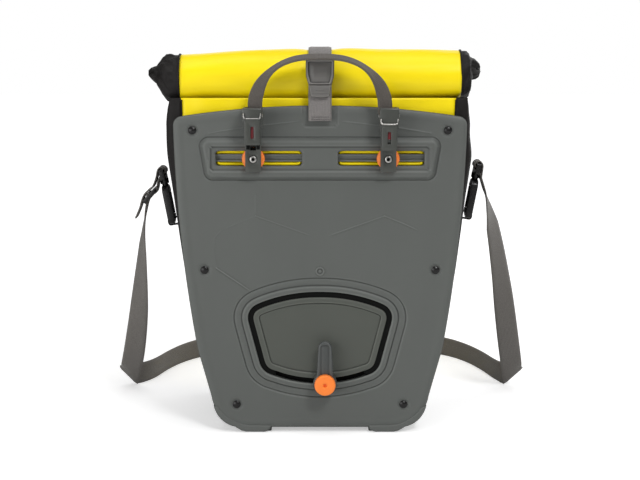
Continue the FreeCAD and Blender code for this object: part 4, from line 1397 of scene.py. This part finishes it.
def rounded_copy(node, width, segments=2):
    """The CAD node's own shape with its edges rounded, to stand in its place."""
    source = frame["nodes"][node]
    obj = bpy.data.objects.new(node + "_rounded", source.data.copy())
    obj.matrix_world = source.matrix_world.copy()
    bpy.context.scene.collection.objects.link(obj)
    weld = obj.modifiers.new("weld", "WELD")
    weld.merge_threshold = 0.00001
    flat = obj.modifiers.new("flat", "DECIMATE")
    flat.decimate_type = "DISSOLVE"
    flat.angle_limit = math.radians(0.6)
    bevel = obj.modifiers.new("bevel", "BEVEL")
    bevel.width = width
    bevel.segments = segments
    bevel.limit_method = "ANGLE"
    bevel.angle_limit = math.radians(34)
    bevel.use_clamp_overlap = True
    applied(obj)
    shaded_by_angle(obj)
    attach(obj, source["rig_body"])
    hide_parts(node)
    return obj


def slimmed_ends(hook, side):
    """A snap hook's body narrows towards both of its ends, like a long drop."""
    lean, upright = SIGNS[side] * math.sin(EYE_TILT), math.cos(EYE_TILT)
    along, across = Vector((lean, 0, upright)), Vector((upright, 0, -lean))
    low = min(v.co.dot(along) for v in hook.data.vertices)
    widths = [v.co.dot(across) for v in hook.data.vertices]
    middle = (min(widths) + max(widths)) / 2
    for vertex in hook.data.vertices:
        up = (vertex.co.dot(along) - low) / MM
        if up < SNAP_BODY_TOP:
            share = 0.36 + 0.48 * math.sqrt(smoothstep(-1.0, 9.0, up)) - 0.08 * smoothstep(33.0, 45.0, up)
            vertex.co += across * (vertex.co.dot(across) - middle) * (share - 1)


def make_rounded_parts():
    for side in SIGNS:
        rounded_copy("hook_body_" + side, 0.0006)
        rounded_copy("jaw_slider_" + side, 0.0005)
        slimmed_ends(rounded_copy("snap_body_" + side, 0.0016, segments=3), side)
        rounded_copy("strap_eye_" + side, 0.0008, segments=3)
        rounded_copy("snap_gate_" + side, 0.0007)
    rounded_copy("strap_adjuster", 0.0006)
    tray = rounded_copy("base_tray", 0.0008)
    for vertex in tray.data.vertices:
        vertex.co.x *= TRAY_SHARE


def turned(name, centre, profile, material, segments=96, ribs=(0, 0.0)):
    """A turned part about a line along Y through (x, z), from (radius, y) pairs. Ribs, as (how many, how
    deep), cut its widest part."""
    widest = max(r for r, _ in profile)
    count, depth = ribs
    points = []
    for radius, y in profile:
        for a in round_angles(segments):
            cut = depth * (0.5 - 0.5 * math.cos(count * a)) if radius > 0.93 * widest else 0.0
            reach = radius - cut
            points.append(row_point(centre[0] + reach * math.cos(a), y, centre[1] + reach * math.sin(a)))
    obj = mesh_object(name, points, capped_faces(len(profile), segments), material)
    shaded_by_angle(obj)
    return obj


HOOKS = {"left": -69.0, "right": 70.6}              # where each hook's middle is, along X
COVER_TOPS = {"left": 337.0, "right": 331.5}        # the height of each hook cover's top edge
WINDOW_Z = 294.4                                    # the height of the clamp screws
KNOB = (5.298, 56.606)                              # the lower hook's pivot, as (x, z)


def make_wheels_and_screws(materials):
    steel, painted_shade = materials["steel"], materials["painted_shade_black"]
    for side, x in HOOKS.items():
        wheel = turned("clamp_wheel_turned_" + side, (x, WINDOW_Z), [
            (2.2, -4.3), (11.2, -4.3), (11.9, -4.9), (12.0, -5.6), (12.0, -7.2), (11.7, -7.9), (11.0, -8.2),
            (2.2, -8.2),
        ], materials["orange_plastic"], 180, (36, 0.45))
        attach(wheel, "wheel_" + side)
        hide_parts("clamp_wheel_" + side)
        screw = turned("clamp_screw_turned_" + side, (x, WINDOW_Z), [
            (2.0, 6.8), (2.0, -11.5), (3.7, -11.5), (3.8, -12.8), (3.4, -13.5), (2.6, -13.8), (1.9, -13.8),
            (1.75, -13.5), (1.7, -12.2), (0.05, -12.1),
        ], steel, 48)
        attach(screw, "hook_" + side)
        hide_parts("clamp_screw_" + side)
        # A black disc at the bottom of the screw's cup: painted shade.
        socket = turned("clamp_socket_" + side, (x, WINDOW_Z), [
            (0.3, -12.2), (1.72, -12.2), (1.72, -12.6), (0.3, -12.6),
        ], painted_shade, 24)
        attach(socket, "hook_" + side)
        # A black sheet across the gap below the hook's cover: painted shade, which also hides the top of the
        # wheel.
        flat_piece("latch_gap_shade_" + side, (x - 3.7, x + 3.7, 300.4, 306.3), (-8.32, -8.42), 1.0,
                   "hook_" + side, painted_shade)
        flat_piece("foot_cover_" + side, (x - 4.4, x + 4.4, 300.0, 303.7), (-12.5, -12.9), 0.8,
                   "hook_" + side, materials["hook_plastic"])
        # Black pieces in the foot's two hollows: painted shade.
        for edge in (-1, 1):
            name = side + ("_inner" if edge * x < 0 else "_outer")
            centre = x + edge * 5.2
            flat_piece("foot_recess_" + name, (centre - 1.8, centre + 1.8, 304.6, 310.8), (-12.55, -12.7),
                       0.4, "hook_" + side, painted_shade)
        make_steel_clip(side, x, steel)


def flat_piece(name, box, depths, corner, body, material):
    """A small flat part: (x0, x1, z0, z1), its back and front y, and its corner radius, all millimetres."""
    x0, x1, z0, z1 = box
    back, front = depths
    piece = moulded_skin(name, round_box_loop(x0, x1, z0, z1, corner, 0.6), [], [],
                         level(front), back, material, 1.5)
    shaded_by_angle(piece)
    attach(piece, body)
    return piece


def make_steel_clip(side, x, material):
    """The bent wire that runs along the cover's top edge and up its corners."""
    top = COVER_TOPS[side]
    bar_y = {"left": -29.15, "right": -31.5}[side]
    half = [(-8.7, -29.9, 5.6), (-8.7, -30.1, 5.2), (-8.6, -30.4, 3.4), (-8.0, -31.0, 0.9),
            (-6.4, bar_y, 0.2)]
    whole = half + [(0, bar_y, 0.2)] + [(-dx, y, up) for dx, y, up in reversed(half)]
    line = even_points(spline_points([row_point(x + dx, y, top + up) for dx, y, up in whole]), 0.0008)
    clip = tube_along("cover_clip_" + side, line, 0.0008, material, 8, 1.0, Vector((0.3, 0.2, 1)))
    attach(clip, "cover_" + side)


def make_lower_hook(materials):
    x, z = KNOB
    knob = turned("knob_turned", KNOB, [
        (2.4, -15.2), (10.9, -15.2), (11.2, -15.6), (11.2, -19.6), (11.0, -20.5), (10.3, -21.1),
        (9.2, -21.3), (3.0, -21.3), (2.2, -21.2), (1.9, -20.8), (1.8, -18.5), (0.05, -18.3),
    ], materials["orange_plastic"], 192, (32, 0.28))
    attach(knob, "lower_knob")
    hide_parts("lower_hook_knob")

    outline = mirrored_loop((0, 46.0), (0.8, (5.2, 43.9), (7.3, 39.0)), (1.2, (8.9, 9.0)),
                            (0.9, (12.6, -1.0), (0, -12.6))) + np.array([x, z])
    inset = round_box_loop(x - 4.8, x + 4.8, z + 6.0, z + 42.3, 3.4)

    def arm_height(points):
        y = -15.0 + 1.3 * rounded_edge(-signed_distance(points, outline), 1.6)
        panel = -signed_distance(points, inset)
        return y + 0.9 * ease(-0.5, 0.4, panel) - 0.5 * ease(0.6, 3.5, panel)

    arm = moulded_skin("arm_skin", outline, [], [offset_loop(inset, 0.5), offset_loop(inset, -0.5)],
                       arm_height, -11.0, materials["arm_plastic"], 0.9)
    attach(arm, "lower_hook")
    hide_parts("lower_hook_arm", "lower_hook_pad")
    foot = turned("arm_foot", KNOB, [(2.5, -1.5), (11.6, -1.5), (12.0, -2.0), (12.0, -11.2), (2.5, -11.2)],
                  materials["hook_plastic"], 96)
    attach(foot, "lower_hook")


def make_buckle(materials):
    """The buckle's case, with a dished panel in its front."""
    case = mirrored_loop(
        (0, 397.2), (0.7, (12.4, 397.2)), (0.5, (14.1, 396.4), (14.7, 394.6)), (0.7, (14.4, 379.5)),
        (0.7, (12.0, 370.9)), (0.7, (0, 370.9)))
    panel = mirrored_loop(
        (0, 394.6), (0.7, (10.9, 394.6)), (0.4, (12.0, 394.1), (12.4, 392.9)), (0.7, (12.0, 381.0)),
        (0.7, (10.3, 374.6)), (0.4, (9.3, 373.0), (7.6, 372.6)), (0.7, (0, 372.4)))

    def case_height(points):
        y = -7.9 + 1.5 * rounded_edge(-signed_distance(points, case), 1.9)
        inside = -signed_distance(points, panel)
        bulge = 0.9 * np.sin(np.clip((points[:, 1] - 372.0) / 23.0, 0, 1) * math.pi)
        return y + (2.0 - bulge * ease(1.0, 6.0, inside)) * ease(-0.3, 0.5, inside)

    frame_skin = moulded_skin("buckle_case", case, [], [offset_loop(panel, 0.3), offset_loop(panel, -0.5)],
                              case_height, -1.5, materials["case_plastic"], 0.8)
    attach(frame_skin, "bag")
    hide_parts("buckle_frame")


def make_buckle_lever(materials):
    """The lever's lip below the case, with a finger scoop, a groove and a short dash."""
    lip = mirrored_loop(
        (0, 370.5), (0.7, (11.8, 370.5)), (0.7, (10.3, 361.6)), (0.5, (9.2, 359.0), (6.8, 357.9)),
        (0.7, (0, 357.5)))

    def lip_height(points):
        y = -8.0 + 1.2 * rounded_edge(-signed_distance(points, lip), 1.5)
        aside, up = np.abs(points[:, 0]), points[:, 1]
        groove = hump(up, 361.4, 0.45) * ease(9.4, 8.6, aside)
        dash = hump(up, 364.6, 0.5) * ease(4.6, 4.0, aside)
        return y + 0.5 * groove + 0.4 * dash + 0.9 * hump(up, 370.0, 2.4)

    lever = moulded_skin("buckle_lip", lip, [], [], lip_height, -5.2, materials["case_plastic"], 0.6)
    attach(lever, "buckle_lever")
    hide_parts("buckle_lever")


def stitches(name, rows, normal, material, length, gap, radius):
    """Threads lying on the cloth along each row from a to b, in the frame."""
    points, faces = [], []
    for a, b in rows:
        way = (b - a).normalized()
        side = way.cross(normal).normalized()
        count = max(1, int((b - a).length / ((length + gap) * MM)))
        pitch = (b - a).length / count
        for i in range(count):
            start = a + way * pitch * (i + 0.18)
            base = len(points)
            for along, swell in ((0.0, 0.15), (0.12, 0.85), (0.5, 1.0), (0.7, 0.85), (0.82, 0.15)):
                centre = start + way * pitch * along
                size = radius * MM * swell
                points += [centre + side * size * math.cos(t) + normal * size * math.sin(t)
                           for t in round_angles(6)]
            faces += [tuple(base + v for v in face) for face in grid_faces(5, 6, closed=True)]
    return mesh_object(name, points, faces, material)


def make_side_tabs(materials):
    """Webbing sewn to each side, around the lower bar of its snap hook."""
    feet = {"left": (-161.5, 215.5), "right": (161.5, 222.0)}
    for side, (x, z) in feet.items():
        sign = SIGNS[side]

        def at(out, up):
            return row_point(x + sign * (out * math.cos(EYE_TILT) + up * math.sin(EYE_TILT)), STRAP_Y,
                             z + up * math.cos(EYE_TILT) - out * math.sin(EYE_TILT))

        neck = even_points([at(0.0, 41.6), at(0.0, 49.3)], 0.0011)
        collar = tube_along("snap_collar_" + side, neck, 0.0034, materials["hard_plastic"], 24, 1.0,
                            Vector((0, 1, 0)))
        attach(collar, "snap_" + side)
        route = [at(-9.2, 14.0), at(-8.4, 9.5), at(-5.6, 6.2), at(0.0, 5.9), at(4.0, 5.7), at(4.5, 2.4),
                 at(3.8, -0.9), at(0.0, -1.0), at(-6.2, -1.0), at(-9.4, -6.0), at(-10.6, -18.0)]
        tab = plain_band("side_tab_" + side, route, Vector((0, 1, 0)), 0.0086, 0.0014,
                         materials["gusset_webbing"], 0.001)
        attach(tab, "bag")
        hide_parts("side_loop_" + side)


def make_stitching(materials):
    """Two rows across the closure strap's near end, and a crossed box on its patch on the far panel."""
    tail = [((-9.6, -6.35, 337.6), (9.6, -6.35, 337.6)), ((-9.6, -6.5, 335.2), (9.6, -6.5, 335.2))]
    rows = [(row_point(*a), row_point(*b)) for a, b in tail]
    sewn = stitches("closure_stitching", rows, Vector((0, -1, 0)), materials["thread"], 1.7, 0.7, 0.28)
    box = [row_point(x, 187.7, z) for x, z in ((-9.0, 252.0), (9.0, 252.0), (9.0, 268.0), (-9.0, 268.0))]
    rows = list(zip(box, box[1:] + box[:1])) + [(box[0], box[2]), (box[3], box[1])]
    patch = stitches("patch_stitching", rows, Vector((0, 1, 0)), materials["thread"], 1.9, 0.9, 0.3)
    for piece in (sewn, patch):
        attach(piece, "bag")


make_camera()
make_stage()
MATERIALS = make_materials()
dress_frame(MATERIALS)
make_shoulder_strap(MATERIALS["strap_webbing"])
make_bag(MATERIALS)
make_plate(MATERIALS)
make_island(MATERIALS)
make_window_piping(MATERIALS)
make_corner_lips(MATERIALS)
make_rounded_parts()
make_wheels_and_screws(MATERIALS)
make_lower_hook(MATERIALS)
make_buckle(MATERIALS)
make_buckle_lever(MATERIALS)
make_side_tabs(MATERIALS)
make_stitching(MATERIALS)
make_roll(MATERIALS)
make_closure(MATERIALS)
for SIDE in SIGNS:
    make_roll_end(SIDE, MATERIALS)
    make_roll_welt(SIDE, MATERIALS)
    make_handle(SIDE, MATERIALS)
